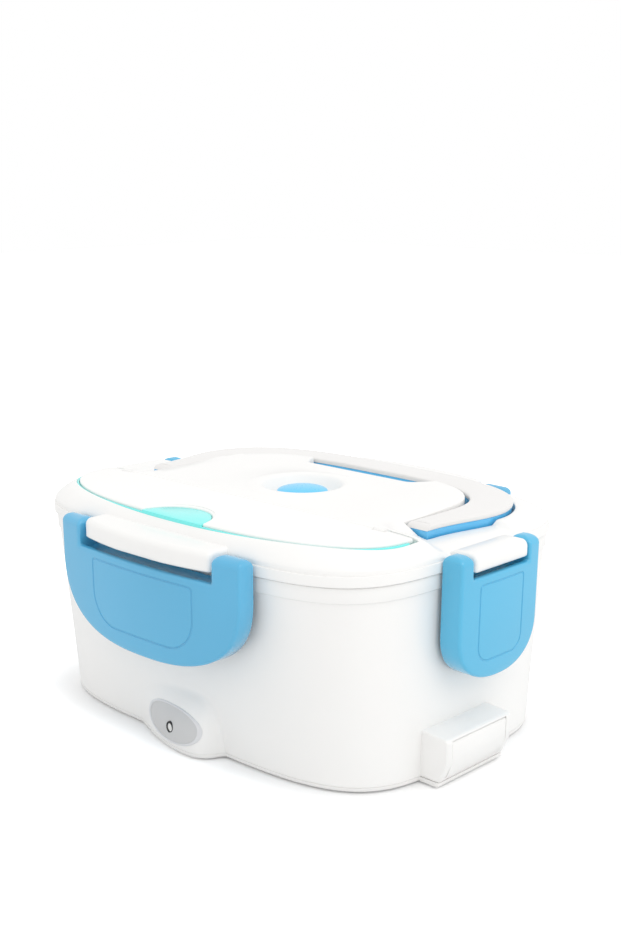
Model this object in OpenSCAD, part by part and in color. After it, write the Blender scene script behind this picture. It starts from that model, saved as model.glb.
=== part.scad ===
// Electric lunch box: a heated base, a lift-off lid held by four latches, and the dishes inside.
// All sizes are in millimetres. X runs along the box, the front with the lamp faces -Y, the power inlet
// is at the +X end, Z is up, and the origin is the middle of the underside.

/* [Base] */
// From the well's mouth out to the base's rim, at each end
rim_edge_x = 6.1; // [5.6:0.1:7]
// From the well's mouth out to the base's rim, at the front and back
rim_edge_y = 6.5; // [6:0.1:7.5]
// How far the wall comes in from the rim down to the floor, at each end
foot_draft_x = 1.2; // [0.8:0.1:2]
// How far the wall comes in from the rim down to the floor, at the front and back
foot_draft_y = 9.2; // [8:0.1:10.5]
// Height of the rim above the table
rim_z = 92.3; // [90:0.1:96]
// Height of the band round the rim
band_h = 6.6; // [5:0.1:8]
// How far the band stands out of the wall below it
band_step = 0.7; // [0.4:0.1:1.2]
// Squareness of the outlines, where 2 is an ellipse
corner_exp = 4.3; // [3.8:0.1:4.8]
// Thickness of the housing's wall
wall = 2.4; // [2:0.1:2.8]
// Height of the feet below the bottom cover
foot_h = 0.8; // [0.5:0.1:1.2]
// Thickness of the bottom cover
cover_t = 2.2; // [2:0.1:2.6]
// Radius of a rubber foot
foot_r = 6; // [4:0.5:8]

/* [Lamp] */
// Width of the bulge at the front
bulge_w = 54; // [48:1:60]
// How far the bulge stands out at the table
bulge_out = 11.2; // [9:0.1:12]
// Height of the bulge
bulge_h = 28; // [26:0.5:32]
// Width of the oval badge
badge_w = 40; // [34:1:44]
// Height of the oval badge
badge_h = 16.6; // [14:0.2:18]
// Thickness of the badge
badge_t = 0.7; // [0.5:0.1:1]
// Height of the badge's middle
badge_z = 12.8; // [12:0.1:14]
// Height of the ring lamp
lens_z = 11.2; // [10.5:0.1:13]
// Radius of the ring lamp
lens_r = 2.3; // [1.8:0.1:3]

/* [Power inlet] */
// Place of the inlet block along the end wall
inlet_y = -10.5; // [-14:0.5:0]
// Width of the inlet block
inlet_w = 45; // [42:1:50]
// How far the block stands out past the rim
inlet_proud = 12.1; // [11.5:0.1:12.3]
// How far the block's face slopes back at the table
inlet_lean = 4.1; // [3:0.1:5]
// Height of the inlet block
inlet_h = 23.5; // [23:0.5:26]
// Width of the flap over the socket
flap_w = 37; // [34:0.5:39]
// Thickness of the flap
flap_t = 1.8; // [1.5:0.1:2]
// Radius of the flap's hinge pin
flap_pin_r = 1; // [0.8:0.1:1.1]

/* [Heated well] */
// Length of the well's mouth
well_len = 202.4; // [196:0.2:210]
// Depth of the well's mouth, front to back
well_dep = 152.8; // [146:0.2:160]
// How far the well narrows down to its floor, at each end
well_draft_x = 2.6; // [2:0.1:4]
// How far the well narrows down to its floor, at the front and back
well_draft_y = 7; // [6:0.1:8.5]
// Height of the well's floor
well_z = 30; // [29:0.5:32]
// Thickness of the liner
liner_t = 1.6; // [1.2:0.1:1.8]
// Length of the heating plate
plate_len = 130; // [120:1:140]
// Depth of the heating plate
plate_dep = 84; // [78:1:90]
// Thickness of the heating plate's face
plate_t = 1.5; // [1:0.1:2]
// Height of one heater block
heater_t = 5; // [4:0.5:6]

/* [Dishes] */
// Wall of the food container and of the side tray
dish_t = 1.6; // [1.2:0.1:2]
// Gap between the container and the well
dish_gap = 0.6; // [0.4:0.1:0.8]
// Length of the side tray
side_len = 54; // [48:1:56]
// From the side tray's front and back to the container's walls, at its floor
side_end = 11.4; // [10:0.2:18]
// From the container's rim down to the side tray's rim
side_drop = 5.1; // [4.6:0.1:9]
// From the side tray to the container's end wall, at its floor
side_edge = 5.6; // [5:0.1:8]

/* [Lid] */
// How far the lid's skirt stands out past the base's rim, at each end
lid_over_x = 1; // [0.6:0.1:1.3]
// How far the lid's skirt stands out past the base's rim, at the front and back
lid_over_y = 1.1; // [0.6:0.1:1.3]
// Height of the skirt's straight side
skirt_h = 4.8; // [4:0.1:6]
// Rise of the domed top above the skirt
dome_h = 9.8; // [9.6:0.1:11]
// Wall of the lid
lid_t = 2.2; // [1.8:0.1:2.4]
// Thickness of the plate that closes the lid from below
inner_t = 1.6; // [1.2:0.1:1.8]
// Height of the silicone seal
seal_t = 1.3; // [1:0.1:1.5]

/* [Spoon compartment] */
// From the spoon cover to the lid's skirt, at each end
spoon_edge_x = 10.3; // [9.8:0.1:12]
// From the spoon cover to the lid's skirt, at the front
spoon_edge_y = 7.5; // [7:0.1:9]
// Place of the cover's hinge, front to back
spoon_hinge_y = -33.6; // [-35:0.1:-33]
// Squareness of the cover's arc
spoon_exp = 2.6; // [2.4:0.1:2.8]
// Thickness of the cover at its edge
spoon_cover_t = 2; // [1.8:0.1:2.4]
// Radius of the cover's hinge barrel
barrel_r = 2.2; // [2:0.1:2.4]
// Radius of the cover's hinge pins
barrel_pin_r = 1.2; // [1:0.1:1.3]
// Radius of the crescent finger tab
tab_r = 19.4; // [16:0.2:20]
// How far the finger tab reaches into the cover
tab_in = 16; // [12:0.5:18]
// From the end of the spoon to the end of its cover
spoon_end = 25; // [23:1:30]

/* [Carry handle] */
// From the handle's arms to the lid's skirt, at each end
handle_edge_x = 12.8; // [12.3:0.1:15]
// Width of an arm of the handle
handle_arm = 18.5; // [17:0.5:20]
// From the handle's back bar to the lid's skirt
handle_edge_y = 9; // [8.5:0.1:11]
// Width of the handle's back bar
handle_bar = 17; // [15:0.5:18]
// Squareness of the handle's corners
handle_exp = 3.2; // [3:0.1:3.4]
// Place of the handle's pivot, front to back
pivot_y = -8; // [-10:0.5:-6]
// Height of the handle's blue core
core_h = 6.4; // [5.6:0.1:6.6]
// Height of the handle's top skin
skin_h = 2.4; // [2:0.1:2.8]
// Radius of the handle's pivot pins
pivot_r = 2; // [1.6:0.1:2.2]
// Width of the finger scoop in front of the handle
scoop_w = 66; // [60:1:72]

/* [Steam vent] */
// Place of the vent, front to back
vent_y = 4.7; // [3:0.1:7]
// Radius of the vent's dish
dish_r = 25.7; // [24:0.1:27]
// Height of the dish's rim above the lid
dish_rim = 0.8; // [0.5:0.1:1.2]
// Radius of the vent knob
knob_r = 12; // [10:0.5:13]
// Radius of the knob's stem
stem_r = 3.8; // [3:0.1:4.2]

/* [Latches] */
// Length of a front or back latch
wide_len = 116; // [110:1:120]
// Length of the notch in its top edge
wide_notch = 86.4; // [84:0.2:88]
// From the pins of a front or back latch down to its lower edge
wide_tall = 48.3; // [44:0.1:52]
// How far the face of a front or back latch stands out from its pins
wide_out = 8.4; // [7.9:0.1:9]
// Radius of the bow of its face, seen from above
wide_bow = 375; // [350:5:450]
// Length of a side latch
slim_len = 59; // [56:1:62]
// Length of the notch in the top edge of a side latch
slim_notch = 38.8; // [37:0.2:40]
// From the pins of a side latch down to its lower edge
slim_tall = 52.1; // [46:0.1:54]
// How far the face of a side latch stands out from its pins
slim_out = 7.1; // [6.9:0.1:7.5]
// Radius of the bow of a side latch's face, seen from above
slim_bow = 400; // [300:10:600]
// Distance of the pins from the lid's skirt
pin_out = 4.6; // [4.5:0.05:4.8]
// Height of the pins above the rim of the base
pin_up = 4.3; // [4.2:0.1:4.6]
// Radius of a latch pin
pin_r = 1.6; // [1.3:0.1:1.8]
// Thickness of a latch's face
latch_t = 2.6; // [2.2:0.1:2.8]
// Thickness of the wall round the back of a latch
latch_rim = 2.2; // [1.8:0.1:2.6]
// Depth of the line round a latch's face
groove_d = 0.5; // [0.3:0.1:0.7]
// Width of the line round a latch's face
groove_w = 0.9; // [0.6:0.1:1.2]

/* [Fits] */
// Gap between pieces that move past each other
gap = 0.3; // [0.25:0.05:0.4]
// Play of a pin in its bore, on the radius
play = 0.05; // [0.03:0.01:0.08]
// Gap round a piece in its recess
recess_gap = 0.6; // [0.5:0.1:0.7]

/* [Hidden] */
$fn = 64;
sides = 64; // points round an outline
arc_n = 40; // points along the spoon cover's arc
eps = 0.01;
far = 300; // longer than anything that is cut

well_hx = well_len / 2;
well_hy = well_dep / 2;
floor_hx = well_hx - well_draft_x;
floor_hy = well_hy - well_draft_y;
rim_hx = well_hx + rim_edge_x;
rim_hy = well_hy + rim_edge_y;
foot_hx = rim_hx - foot_draft_x;
foot_hy = rim_hy - foot_draft_y;
band_z = rim_z - band_h;
under_hx = rim_hx - band_step;
under_hy = rim_hy - band_step;
cover_z = foot_h + cover_t; // the seam between the bottom cover and the housing
ledge_z = rim_z - 3.4; // carries the liner's lip
ledge_w = 1.1;
foot_edge = 0.9; // slope at the lower edge of the bottom cover
boss_x = foot_hx - 20.1;
boss_y = foot_hy - 23.7;
boss_r = 3.6;
boss_top = 20;
rib_t = 2;
foot_x = foot_hx - 34.1;
foot_y = foot_hy - 29.7;
foot_seat = foot_h + 1.2; // top of a foot, let into the bottom cover
screw_r = 1.4;
screw_len = 12;
head_r = 2.9;
head_h = 1.4;
slot_w = 3; // cooling slots of the bottom cover
slot_len = 20;
slot_step = 8;
slot_y = 30;

badge_front = foot_hy + (under_hy - foot_hy) * badge_z / band_z; // wall behind the badge
post_r = 1.5;
post_x = 6;
post_len = 5;
board_y = -badge_front - 3.4;
board_t = 1.2;
board_w = 18;
board_h = 11;

inlet_out = rim_hx + inlet_proud;
inlet_in = inlet_out - 39.4; // where the block begins, inside the wall
inlet_foot = inlet_out - inlet_lean;
inlet_fall = 1.6; // the block's top rises this much towards the wall
flap_pin_z = inlet_h - 3.2;
flap_pin_x = inlet_out - flap_t;
flap_barrel_r = 1.7;
flap_low = 5.4; // height of the flap's lower edge
lean_z = 12; // the inlet block's face stands upright above this height
thumb_r = 3;
socket_w = 27;
socket_h = 15.6;
socket_z = 4.9;
socket_face = inlet_foot - 1.9;
socket_depth = 13;
socket_t = 1.6;
socket_bevel = 3.6;
blade_z = socket_z + socket_h / 2;
blade_back = socket_face - socket_depth - 5;
blade_step = 7; // from blade to blade
blade_rise = 1.6; // the middle blade sits this much above the middle, the others as much below
blade_t = 2;
blade_w = 4;

plate_z = well_z; // underside of the heating plate's face
plate_edge = 8; // from the plate's edge to the boss below it
plate_corner = 16;
boss_len = plate_len - 2 * plate_edge;
boss_dep = plate_dep - 2 * plate_edge;
boss_corner = 12;
boss_h = liner_t + 1.4;
heater_x = plate_len / 2 - 35;
heater_len = plate_len / 2 - 15;
heater_dep = plate_dep / 2 - 20;
heater_top = plate_z - boss_h;
heater_low = heater_top - heater_t;
strap_t = 1.5;
strap_w = 14;
strap_foot = 8;
strap_gap = 6; // from the plate's boss to the strap
stat_at = [0, plate_dep / 2 - 19]; // thermostat
stat_r = 8;
stat_h = 6;
tab_x = 5.5; // the thermostat's tabs
fuse_at = [-6, 20 - plate_dep / 2];
fuse_r = 2;
fuse_len = 14;
lead_r = 0.5;
lead_len = 30;
wire_z = cover_z + 3;

dish_z = plate_z + plate_t + gap;
dish_floor_z = dish_z + dish_t;
dish_rim_z = ledge_z + liner_t + gap; // underside of the container's rim
dish_rim_t = 1.3;
dish_rim_w = 3;
side_z = dish_floor_z + gap;
side_top = dish_rim_z - side_drop;
side_dep = 2 * (floor_hy - side_end);
side_x = side_edge + side_len / 2 - floor_hx;
side_taper = 1.6;
side_tab = 16;
side_plug = dish_t + 0.4; // the lid's plug lies this far inside the side tray's outline

lid_z = rim_z + gap;
lid_hx = rim_hx + lid_over_x;
lid_hy = rim_hy + lid_over_y;
skirt_z = lid_z + skirt_h;
top_z = skirt_z + dome_h;
seal_z = dish_rim_z + dish_rim_t + gap;
inner_z = seal_z + seal_t; // underside of the plate that closes the lid
pocket_z = inner_z + inner_t; // underside of the pockets' floors
pocket_t = 1.6;
// The lid's side: share of the outline, and share of the dome's rise
dome = [[1, 0], [0.99, 0.245], [0.97, 0.47], [0.945, 0.673], [0.92, 0.816], [0.88, 0.918], [0.8, 0.969], [0.4, 1]];

spoon_a = lid_hx - spoon_edge_x;
spoon_front = lid_hy - spoon_edge_y;
spoon_b = spoon_front + spoon_hinge_y;
spoon_top = top_z - 0.6; // top of the cover's edge
spoon_under = spoon_top - spoon_cover_t;
hinge_z = spoon_top - 0.9;
lug_x = spoon_a - 20; // inner end of the lugs that hold the cover's pins
lug_w = 6;
tray_t = 1.2;
tray_floor = pocket_z + lid_t - 0.6 + tray_t;
tray_rim = top_z - 1.7;
tray_ledge = 1;
tray_out = 1.3; // how far the tray's rim stands out round the cover
tray_back = spoon_hinge_y + barrel_r + 0.3;
pocket_back = tray_back + 0.1;
spoon_y = spoon_hinge_y - 19.4;
spoon_len = 2 * (spoon_a - spoon_end);
bowl_len = 42;
bowl_w = 26;
bowl_d = 4.4;
spoon_t = 0.9;
stem_t = 2;

handle_len = 2 * (lid_hx - handle_edge_x);
handle_gap = handle_len - 2 * handle_arm;
handle_back = lid_hy - handle_edge_y;
handle_inner = handle_back - handle_bar;
handle_top = top_z - 1.2;
skin_z = handle_top - skin_h;
core_z = skin_z - core_h;
arm_x = (handle_len + handle_gap) / 4; // middle of an arm
pivot_z = (handle_top + core_z) / 2;
pivot_end = (handle_top - core_z) / 2;
pivot_end_w = handle_arm - 1.2;
handle_cy = 10; // where the arms turn into the back bar
channel_z = core_z - 0.4;
pivot_in = 5; // length of a pivot pin
scoop_front = handle_inner - 14.5;
scoop_back = handle_inner - 2;
scoop_flare = 10;

dish_floor = top_z - 4.4; // floor of the vent's dish
dish_lip = 1.4; // width of the dish's raised rim
knob_z = dish_floor + 1;

pin_z = rim_z + pin_up;
wide_pin = lid_hy + pin_out;
slim_pin = lid_hx + pin_out;
ear_r = pin_out - 0.4;
notch_gap = 2.2; // between the end of a bar and the ear beside it
pin_in = 5.3; // how far a pin goes into its bar
pin_end = 0.5; // free depth of the bore beyond the pin
flap_drop = 7.8; // from the pins down to the notch of a front or back latch
slim_drop = 6.2; // the same for a side latch
wide_shoulder = -12.6; // where the straight ears end and the round shield begins
slim_shoulder = -30.6;
wide_exp = 2.6;
slim_exp = 2.3;
wide_bar = wide_notch / 2 - notch_gap;
slim_bar = slim_notch / 2 - notch_gap / 2;
wide_bar_bow = 170;
wide_bar_r = wide_out + 0.7;
slim_bar_r = slim_out;
bar_web = 1.2; // the web reaches this far into the skirt
hook_tip = pin_out + band_step / 2 + 0.3;
hook_z = -pin_up - band_h; // underside of the base's rim, seen from the pins

// ---- Outlines and skins ----

function powered(v, e) = sign(v) * pow(abs(v), e);

// Rounded rectangle as a superellipse, counter-clockwise from above
function oval(hx, hy, e = corner_exp, n = sides) =
    [for (i = [0 : n - 1]) let (a = 360 * i / n) [hx * powered(cos(a), 2 / e), hy * powered(sin(a), 2 / e)]];

function lifted(outline, z) = [for (p = outline) [p.x, p.y, z]];

function ring(hx, hy, z, e = corner_exp, n = sides) = lifted(oval(hx, hy, e, n), z);

// Skin through rings with the same number of points: up the outside and, for a cup, down the inside.
// A closed skin joins its last ring to its first; an open one is capped.
module loft(rings, closed = false) {
    n = len(rings[0]);
    m = len(rings);
    skins = [
        for (i = [0 : closed ? m - 1 : m - 2], j = [0 : n - 1])
            let (k = (i + 1) % m, l = (j + 1) % n)
                each [[i * n + j, k * n + j, k * n + l], [i * n + j, k * n + l, i * n + l]]
    ];
    caps = closed ? [] : [[for (j = [0 : n - 1]) j], [for (j = [n - 1 : -1 : 0]) (m - 1) * n + j]];
    polyhedron([for (r = rings) each r], concat(skins, caps));
}

// Rectangle with rounded corners, as points
function round_rect(lx, ly, r, n = 6) = [
    for (c = [[1, 1, 0], [-1, 1, 90], [-1, -1, 180], [1, -1, 270]], i = [0 : n])
        let (a = c.z + 90 * i / n) [c.x * (lx / 2 - r) + r * cos(a), c.y * (ly / 2 - r) + r * sin(a)]
];

// Bar along X through a profile drawn in Y and Z
module along_x(length) {
    rotate([90, 0, 90]) linear_extrude(length, center = true) children();
}

// Bar along Y through a profile drawn in X and Z
module along_y(length) {
    rotate([90, 0, 0]) linear_extrude(length, center = true) children();
}

module rod_x(r, length) {
    rotate([0, 90, 0]) cylinder(r = r, h = length, center = true);
}

module rod_y(r, length) {
    rotate([90, 0, 0]) cylinder(r = r, h = length, center = true);
}

module box(low, high) {
    translate(low) cube(high - low);
}

module both_x() {
    children();
    mirror([1, 0, 0]) children();
}

module corners(x, y) {
    for (sx = [-1, 1], sy = [-1, 1]) translate([sx * x, sy * y, 0]) children();
}

// ---- Base ----

// Half size of the base's wall at a height, less an inset
function wall_hx(z, inset = 0) = foot_hx + (under_hx - foot_hx) * z / band_z - inset;
function wall_hy(z, inset = 0) = foot_hy + (under_hy - foot_hy) * z / band_z - inset;
function wall_y(x, z) = wall_hy(z) * pow(1 - pow(x / wall_hx(z), corner_exp), 1 / corner_exp);
function wall_ring(z, inset = 0) = ring(wall_hx(z, inset), wall_hy(z, inset), z);

// Outline of the lamp bulge at a height, grown by a thickness
function bulge_outline(z, grow) =
    let (
        t = min(1, z / (bulge_h + grow)),
        w = (bulge_w / 2 + grow) * pow(1 - pow(t, 3.2), 0.4),
        out = (bulge_out + grow) * (1 - pow(t, 2.4)),
        y0 = -wall_hy(z)
    )
    concat(
        [for (i = [0 : 24]) let (u = i / 12 - 1) [w * u, y0 - out * pow(1 - pow(abs(u), 2.2), 0.65)]],
        [[w, y0 + 8], [-w, y0 + 8]]
    );

module bulge(grow = 0) {
    top = bulge_h + grow - 0.4;
    loft([for (t = [0, 0.2, 0.4, 0.58, 0.74, 0.87, 0.95, 1])
        let (z = foot_h + (top - foot_h) * t) lifted(bulge_outline(z, grow), z)]);
}

// Side view of the inlet block
module inlet_profile() {
    polygon([
        [inlet_in, foot_h], [inlet_foot, foot_h], [inlet_out, lean_z], [inlet_out, inlet_h - 1.2],
        [inlet_out - 1.2, inlet_h], [inlet_in + 20, inlet_h + inlet_fall], [inlet_in, inlet_h + inlet_fall]
    ]);
}

module inlet_block() {
    translate([0, inlet_y, 0]) along_y(inlet_w) inlet_profile();
}

module base_form() {
    loft([
        ring(wall_hx(0, foot_edge), wall_hy(0, foot_edge), foot_h),
        wall_ring(foot_h + foot_edge),
        wall_ring(band_z),
        ring(rim_hx, rim_hy, band_z),
        ring(rim_hx, rim_hy, rim_z)
    ]);
    bulge();
    inlet_block();
}

module base_cavity() {
    loft([
        wall_ring(-1, wall),
        wall_ring(band_z - 3, wall),
        ring(rim_hx - wall - ledge_w, rim_hy - wall - ledge_w, ledge_z),
        ring(rim_hx - wall, rim_hy - wall, ledge_z),
        ring(rim_hx - wall, rim_hy - wall, rim_z + 1)
    ]);
}

module outer_housing() color("white") {
    difference() {
        union() {
            difference() {
                base_form();
                box([-far, -far, -1], [far, far, cover_z]);
                base_cavity();
                difference() {
                    bulge(-wall);
                    box([-far, -far, -1], [far, far, foot_h + eps]);
                }
                // room for the socket, behind the block's face
                translate([0, inlet_y, 0]) along_y(inlet_w - 2 * wall)
                    polygon([
                        [inlet_in + 10, 0], [inlet_foot - wall, 0], [socket_face, socket_z + 1],
                        [socket_face, inlet_h - wall], [inlet_in + 10, inlet_h - wall]
                    ]);
            }
            corners(boss_x, boss_y) translate([0, 0, cover_z]) cylinder(r = boss_r, h = boss_top - cover_z);
            // ribs that tie the bosses to the long walls
            for (turn = [0, 1]) mirror([0, turn, 0]) both_x()
                box([boss_x - rib_t / 2, boss_y, cover_z],
                    [boss_x + rib_t / 2, wall_y(boss_x + rib_t / 2, cover_z) - wall / 4, boss_top]);
            // posts of the lamp's board
            both_x() translate([post_x, board_y - post_len / 2, badge_z]) rod_y(post_r, post_len);
        }
        corners(boss_x, boss_y) translate([0, 0, cover_z - 1]) cylinder(r = screw_r + play, h = screw_len + 2);
        // hole of the ring lamp
        translate([0, -wall_hy(lens_z) - 6, lens_z]) rod_y(lens_r + play, 20);
        // mouth of the inlet and the bed of its flap
        translate([0, inlet_y, 0]) along_y(flap_w + 2 * recess_gap) flap_room();
        translate([0, inlet_y, 0]) along_y(socket_w + 2 * play)
            polygon([
                [inlet_in + 10, socket_z - play], [inlet_out + 2, socket_z - play],
                [inlet_out + 2, socket_z + socket_h + play], [inlet_in + 10, socket_z + socket_h + play]
            ]);
        translate([flap_pin_x, inlet_y, flap_pin_z]) rod_y(flap_pin_r + play, inlet_w - 2);
    }
}

module bottom_cover() color("whitesmoke") {
    difference() {
        base_form();
        box([-far, -far, cover_z], [far, far, far]);
        corners(foot_x, foot_y) cylinder(r = foot_r + play, h = foot_seat);
        corners(boss_x, boss_y) {
            cylinder(r = screw_r + 0.3, h = far);
            cylinder(r = head_r + 0.3, h = foot_h + head_h);
        }
        // slots that let the base cool
        for (i = [-3 : 3], s = [-1, 1])
            translate([i * slot_step, s * slot_y, -1]) linear_extrude(far) square([slot_w, slot_len], center = true);
    }
}

module cover_screws() color("silver") {
    corners(boss_x, boss_y) {
        difference() {
            translate([0, 0, foot_h + 0.2]) cylinder(r = head_r, h = head_h - 0.2);
            cylinder(r = 1.3, h = foot_h + 0.9, $fn = 6); // key
        }
        translate([0, 0, foot_h + 1]) cylinder(r = screw_r, h = cover_z + screw_len - foot_h - 1);
    }
}

module rubber_feet() color("dimgray") {
    corners(foot_x, foot_y) cylinder(r = foot_r, h = foot_seat);
}

// ---- Heated well ----

module inner_liner() color("gainsboro") {
    lip_x = rim_hx - wall - gap;
    lip_y = rim_hy - wall - gap;
    difference() {
        loft([
            ring(floor_hx - 3, floor_hy - 3, well_z - liner_t),
            ring(floor_hx + liner_t, floor_hy + liner_t, well_z + 2),
            ring(well_hx + liner_t, well_hy + liner_t, ledge_z),
            ring(lip_x, lip_y, ledge_z),
            ring(lip_x, lip_y, ledge_z + liner_t),
            ring(well_hx, well_hy, ledge_z + liner_t),
            ring(floor_hx, floor_hy, well_z + 3),
            ring(floor_hx - 4, floor_hy - 4, well_z)
        ]);
        translate([0, 0, well_z - 5]) linear_extrude(10) polygon(round_rect(boss_len + 1, boss_dep + 1, boss_corner));
    }
}

module heating_plate() color("lightgray") {
    translate([0, 0, plate_z]) linear_extrude(plate_t) polygon(round_rect(plate_len, plate_dep, plate_corner));
    translate([0, 0, plate_z - boss_h]) linear_extrude(boss_h) polygon(round_rect(boss_len, boss_dep, boss_corner));
}

module ptc_heaters() color("dimgray") {
    both_x() box([heater_x - heater_len / 2, -heater_dep / 2, heater_low],
                 [heater_x + heater_len / 2, heater_dep / 2, heater_top]);
}

module heater_clamp() color("silver") {
    reach = boss_len / 2 + strap_gap;
    low = heater_low - strap_t;
    high = well_z - liner_t;
    along_y(strap_w) polygon([
        [-reach - strap_foot, high - strap_t], [-reach - strap_foot, high], [-reach, high], [-reach, heater_low],
        [reach, heater_low], [reach, high], [reach + strap_foot, high], [reach + strap_foot, high - strap_t],
        [reach + strap_t, high - strap_t], [reach + strap_t, low], [-reach - strap_t, low],
        [-reach - strap_t, high - strap_t]
    ]);
}

module thermostat() color("silver") {
    translate([stat_at.x, stat_at.y, heater_top - stat_h]) {
        cylinder(r = stat_r, h = stat_h);
        both_x() box([tab_x - 0.5, -2, -3], [tab_x + 0.5, 2, 0]);
        translate([0, 0, -1.5]) cylinder(r = stat_r - 2, h = 1.5);
    }
}

module thermal_fuse() color("white") {
    translate([fuse_at.x, fuse_at.y, heater_top - fuse_r]) {
        rod_x(fuse_r, fuse_len);
        rod_x(lead_r, lead_len);
    }
}

// Insulated wire along a list of places, with eight sides and mitred by its own overlap
module wire(places, r = 1) {
    for (i = [0 : len(places) - 2]) {
        a = places[i];
        d = places[i + 1] - a;
        translate(a) rotate([0, acos(d.z / norm(d)), atan2(d.y, d.x)]) translate([0, 0, -r * 0.4])
            cylinder(r = r, h = norm(d) + r * 0.8, $fn = 8);
    }
}

module wiring() color("firebrick") {
    // live: inlet to thermostat
    wire([
        [blade_back, inlet_y - blade_step, blade_z - blade_rise], [blade_back - 5.4, inlet_y - 6, wire_z],
        [blade_back - 25.4, stat_at.y, wire_z], [tab_x + 2.5, stat_at.y, wire_z],
        [tab_x, stat_at.y, heater_top - stat_h - 3]
    ]);
    // from the thermostat to the fuse and on to the heaters
    wire([
        [-tab_x, stat_at.y, heater_top - stat_h - 3], [-14, stat_at.y, wire_z], [-26, 4, wire_z],
        [-26, fuse_at.y, heater_low], [fuse_at.x - lead_len / 2 + 0.5, fuse_at.y, heater_top - fuse_r]
    ]);
    // neutral: inlet to the heaters, beside the strap
    wire([
        [blade_back, inlet_y + blade_step, blade_z - blade_rise], [blade_back - 7.4, inlet_y + 6, wire_z],
        [blade_back - 23.4, -12, wire_z], [plate_len / 2 + 1, -12, 10],
        [heater_x + heater_len / 2 - 3, 2 - heater_dep / 2, heater_low + 2]
    ]);
    // lamp: both wires of the board
    for (s = [-1, 1]) wire([
        [s * 4, board_y + board_t, badge_z], [s * 4, board_y + 8, wire_z + 2], [s * 8 + 24, -40, wire_z],
        [s * 2 + plate_len / 2 + 1, -16, wire_z]
    ], 0.7);
}

// ---- Inlet ----

module inlet_socket() color("#222222") {
    mouth_y = socket_w / 2 - socket_t;
    mouth_z = socket_h / 2 - socket_t;
    difference() {
        box([socket_face - socket_depth - 2, inlet_y - socket_w / 2, socket_z],
            [socket_face, inlet_y + socket_w / 2, socket_z + socket_h]);
        // mouth with two cut corners
        translate([socket_face - socket_depth, inlet_y, blade_z]) rotate([90, 0, 90])
            linear_extrude(socket_depth + 1) polygon([
                [-mouth_y, -mouth_z], [mouth_y, -mouth_z], [mouth_y, mouth_z - socket_bevel],
                [mouth_y - socket_bevel, mouth_z], [socket_bevel - mouth_y, mouth_z], [-mouth_y, mouth_z - socket_bevel]
            ]);
        blades(play);
    }
}

// Three flat contacts: two beside each other and the middle one raised
module blades(grow = 0) {
    for (i = [-1 : 1]) let (y = inlet_y + i * blade_step, z = blade_z + (i == 0 ? blade_rise : -blade_rise))
        box([blade_back, y - blade_t / 2 - grow, z - blade_w / 2 - grow],
            [socket_face - 4 + grow, y + blade_t / 2 + grow, z + blade_w / 2 + grow]);
}

module inlet_pins() color("silver") blades();

module flap_room() {
    polygon([
        [socket_face - eps, flap_low - recess_gap], [inlet_out + 3, flap_low - recess_gap],
        [inlet_out + 3, flap_pin_z + flap_t + gap], [flap_pin_x, flap_pin_z + flap_t + gap],
        [flap_pin_x - flap_barrel_r - gap, flap_pin_z + 1], [socket_face - eps, flap_pin_z - 3]
    ]);
}

module inlet_flap() color("white") {
    lean_at = inlet_out - inlet_lean * (lean_z - flap_low) / (lean_z - foot_h);
    translate([0, inlet_y, 0]) difference() {
        union() {
            along_y(flap_w) polygon([
                [inlet_out, flap_pin_z], [inlet_out, lean_z], [lean_at, flap_low],
                [lean_at - flap_t, flap_low], [inlet_out - flap_t, lean_z], [inlet_out - flap_t, flap_pin_z]
            ]);
            translate([flap_pin_x, 0, flap_pin_z]) rod_y(flap_barrel_r, flap_w);
        }
        translate([flap_pin_x, 0, flap_pin_z]) rod_y(flap_pin_r + play, flap_w + 2);
        // finger notch in the lower edge
        translate([lean_at, 0, flap_low - 1]) rod_x(thumb_r, 8);
    }
}

module inlet_flap_pin() color("silver") {
    translate([flap_pin_x, inlet_y, flap_pin_z]) rod_y(flap_pin_r, inlet_w - 2.4);
}

// ---- Lamp ----

module indicator_badge() color("silver") {
    difference() {
        intersection() {
            bulge(badge_t);
            translate([0, -wall_hy(badge_z) - 8, badge_z]) rotate([90, 0, 0])
                linear_extrude(20, center = true) polygon(oval(badge_w / 2, badge_h / 2, 2.3, 40));
        }
        bulge();
        translate([0, -wall_hy(lens_z) - 8, lens_z]) rod_y(lens_r + play, 24);
    }
}

module indicator_lens() color("orange") {
    front = wall_hy(lens_z) + bulge_out - 0.2;
    translate([0, (board_y - front) / 2, lens_z]) rod_y(lens_r, front + board_y);
}

module lamp_board() color("darkgreen") {
    translate([0, board_y + board_t / 2, badge_z]) along_y(board_t) square([board_w, board_h], center = true);
}

// ---- Lid ----

// Half-oval of the spoon cover, grown by a width; its straight side lies at the back
function half_oval(grow, back) = concat(
    [for (i = [0 : arc_n]) let (a = 180 + 180 * i / arc_n)
        [(spoon_a + grow) * powered(cos(a), 2 / spoon_exp),
         spoon_hinge_y - 0.2 + (spoon_b + grow) * powered(sin(a), 2 / spoon_exp)]],
    [[spoon_a + grow, back], [-spoon_a - grow, back]]
);

// Outline of the handle, grown by a width: round the back bar outside, then back along the inside
function handle_outline(grow, n = 24) =
    let (front = pivot_y - pivot_end - grow)
    concat(
        [[handle_len / 2 + grow, front]],
        [for (i = [0 : n]) let (a = 180 * i / n)
            [(handle_len / 2 + grow) * powered(cos(a), 2 / handle_exp),
             handle_cy + (handle_back - handle_cy + grow) * powered(sin(a), 2 / handle_exp)]],
        [[-handle_len / 2 - grow, front], [-handle_gap / 2 + grow, front]],
        [for (i = [n : -1 : 0]) let (a = 180 * i / n)
            [(handle_gap / 2 - grow) * powered(cos(a), 2 / handle_exp),
             handle_cy + (handle_inner - handle_cy - grow) * powered(sin(a), 2 / handle_exp)]],
        [[handle_gap / 2 - grow, front]]
    );

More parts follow.
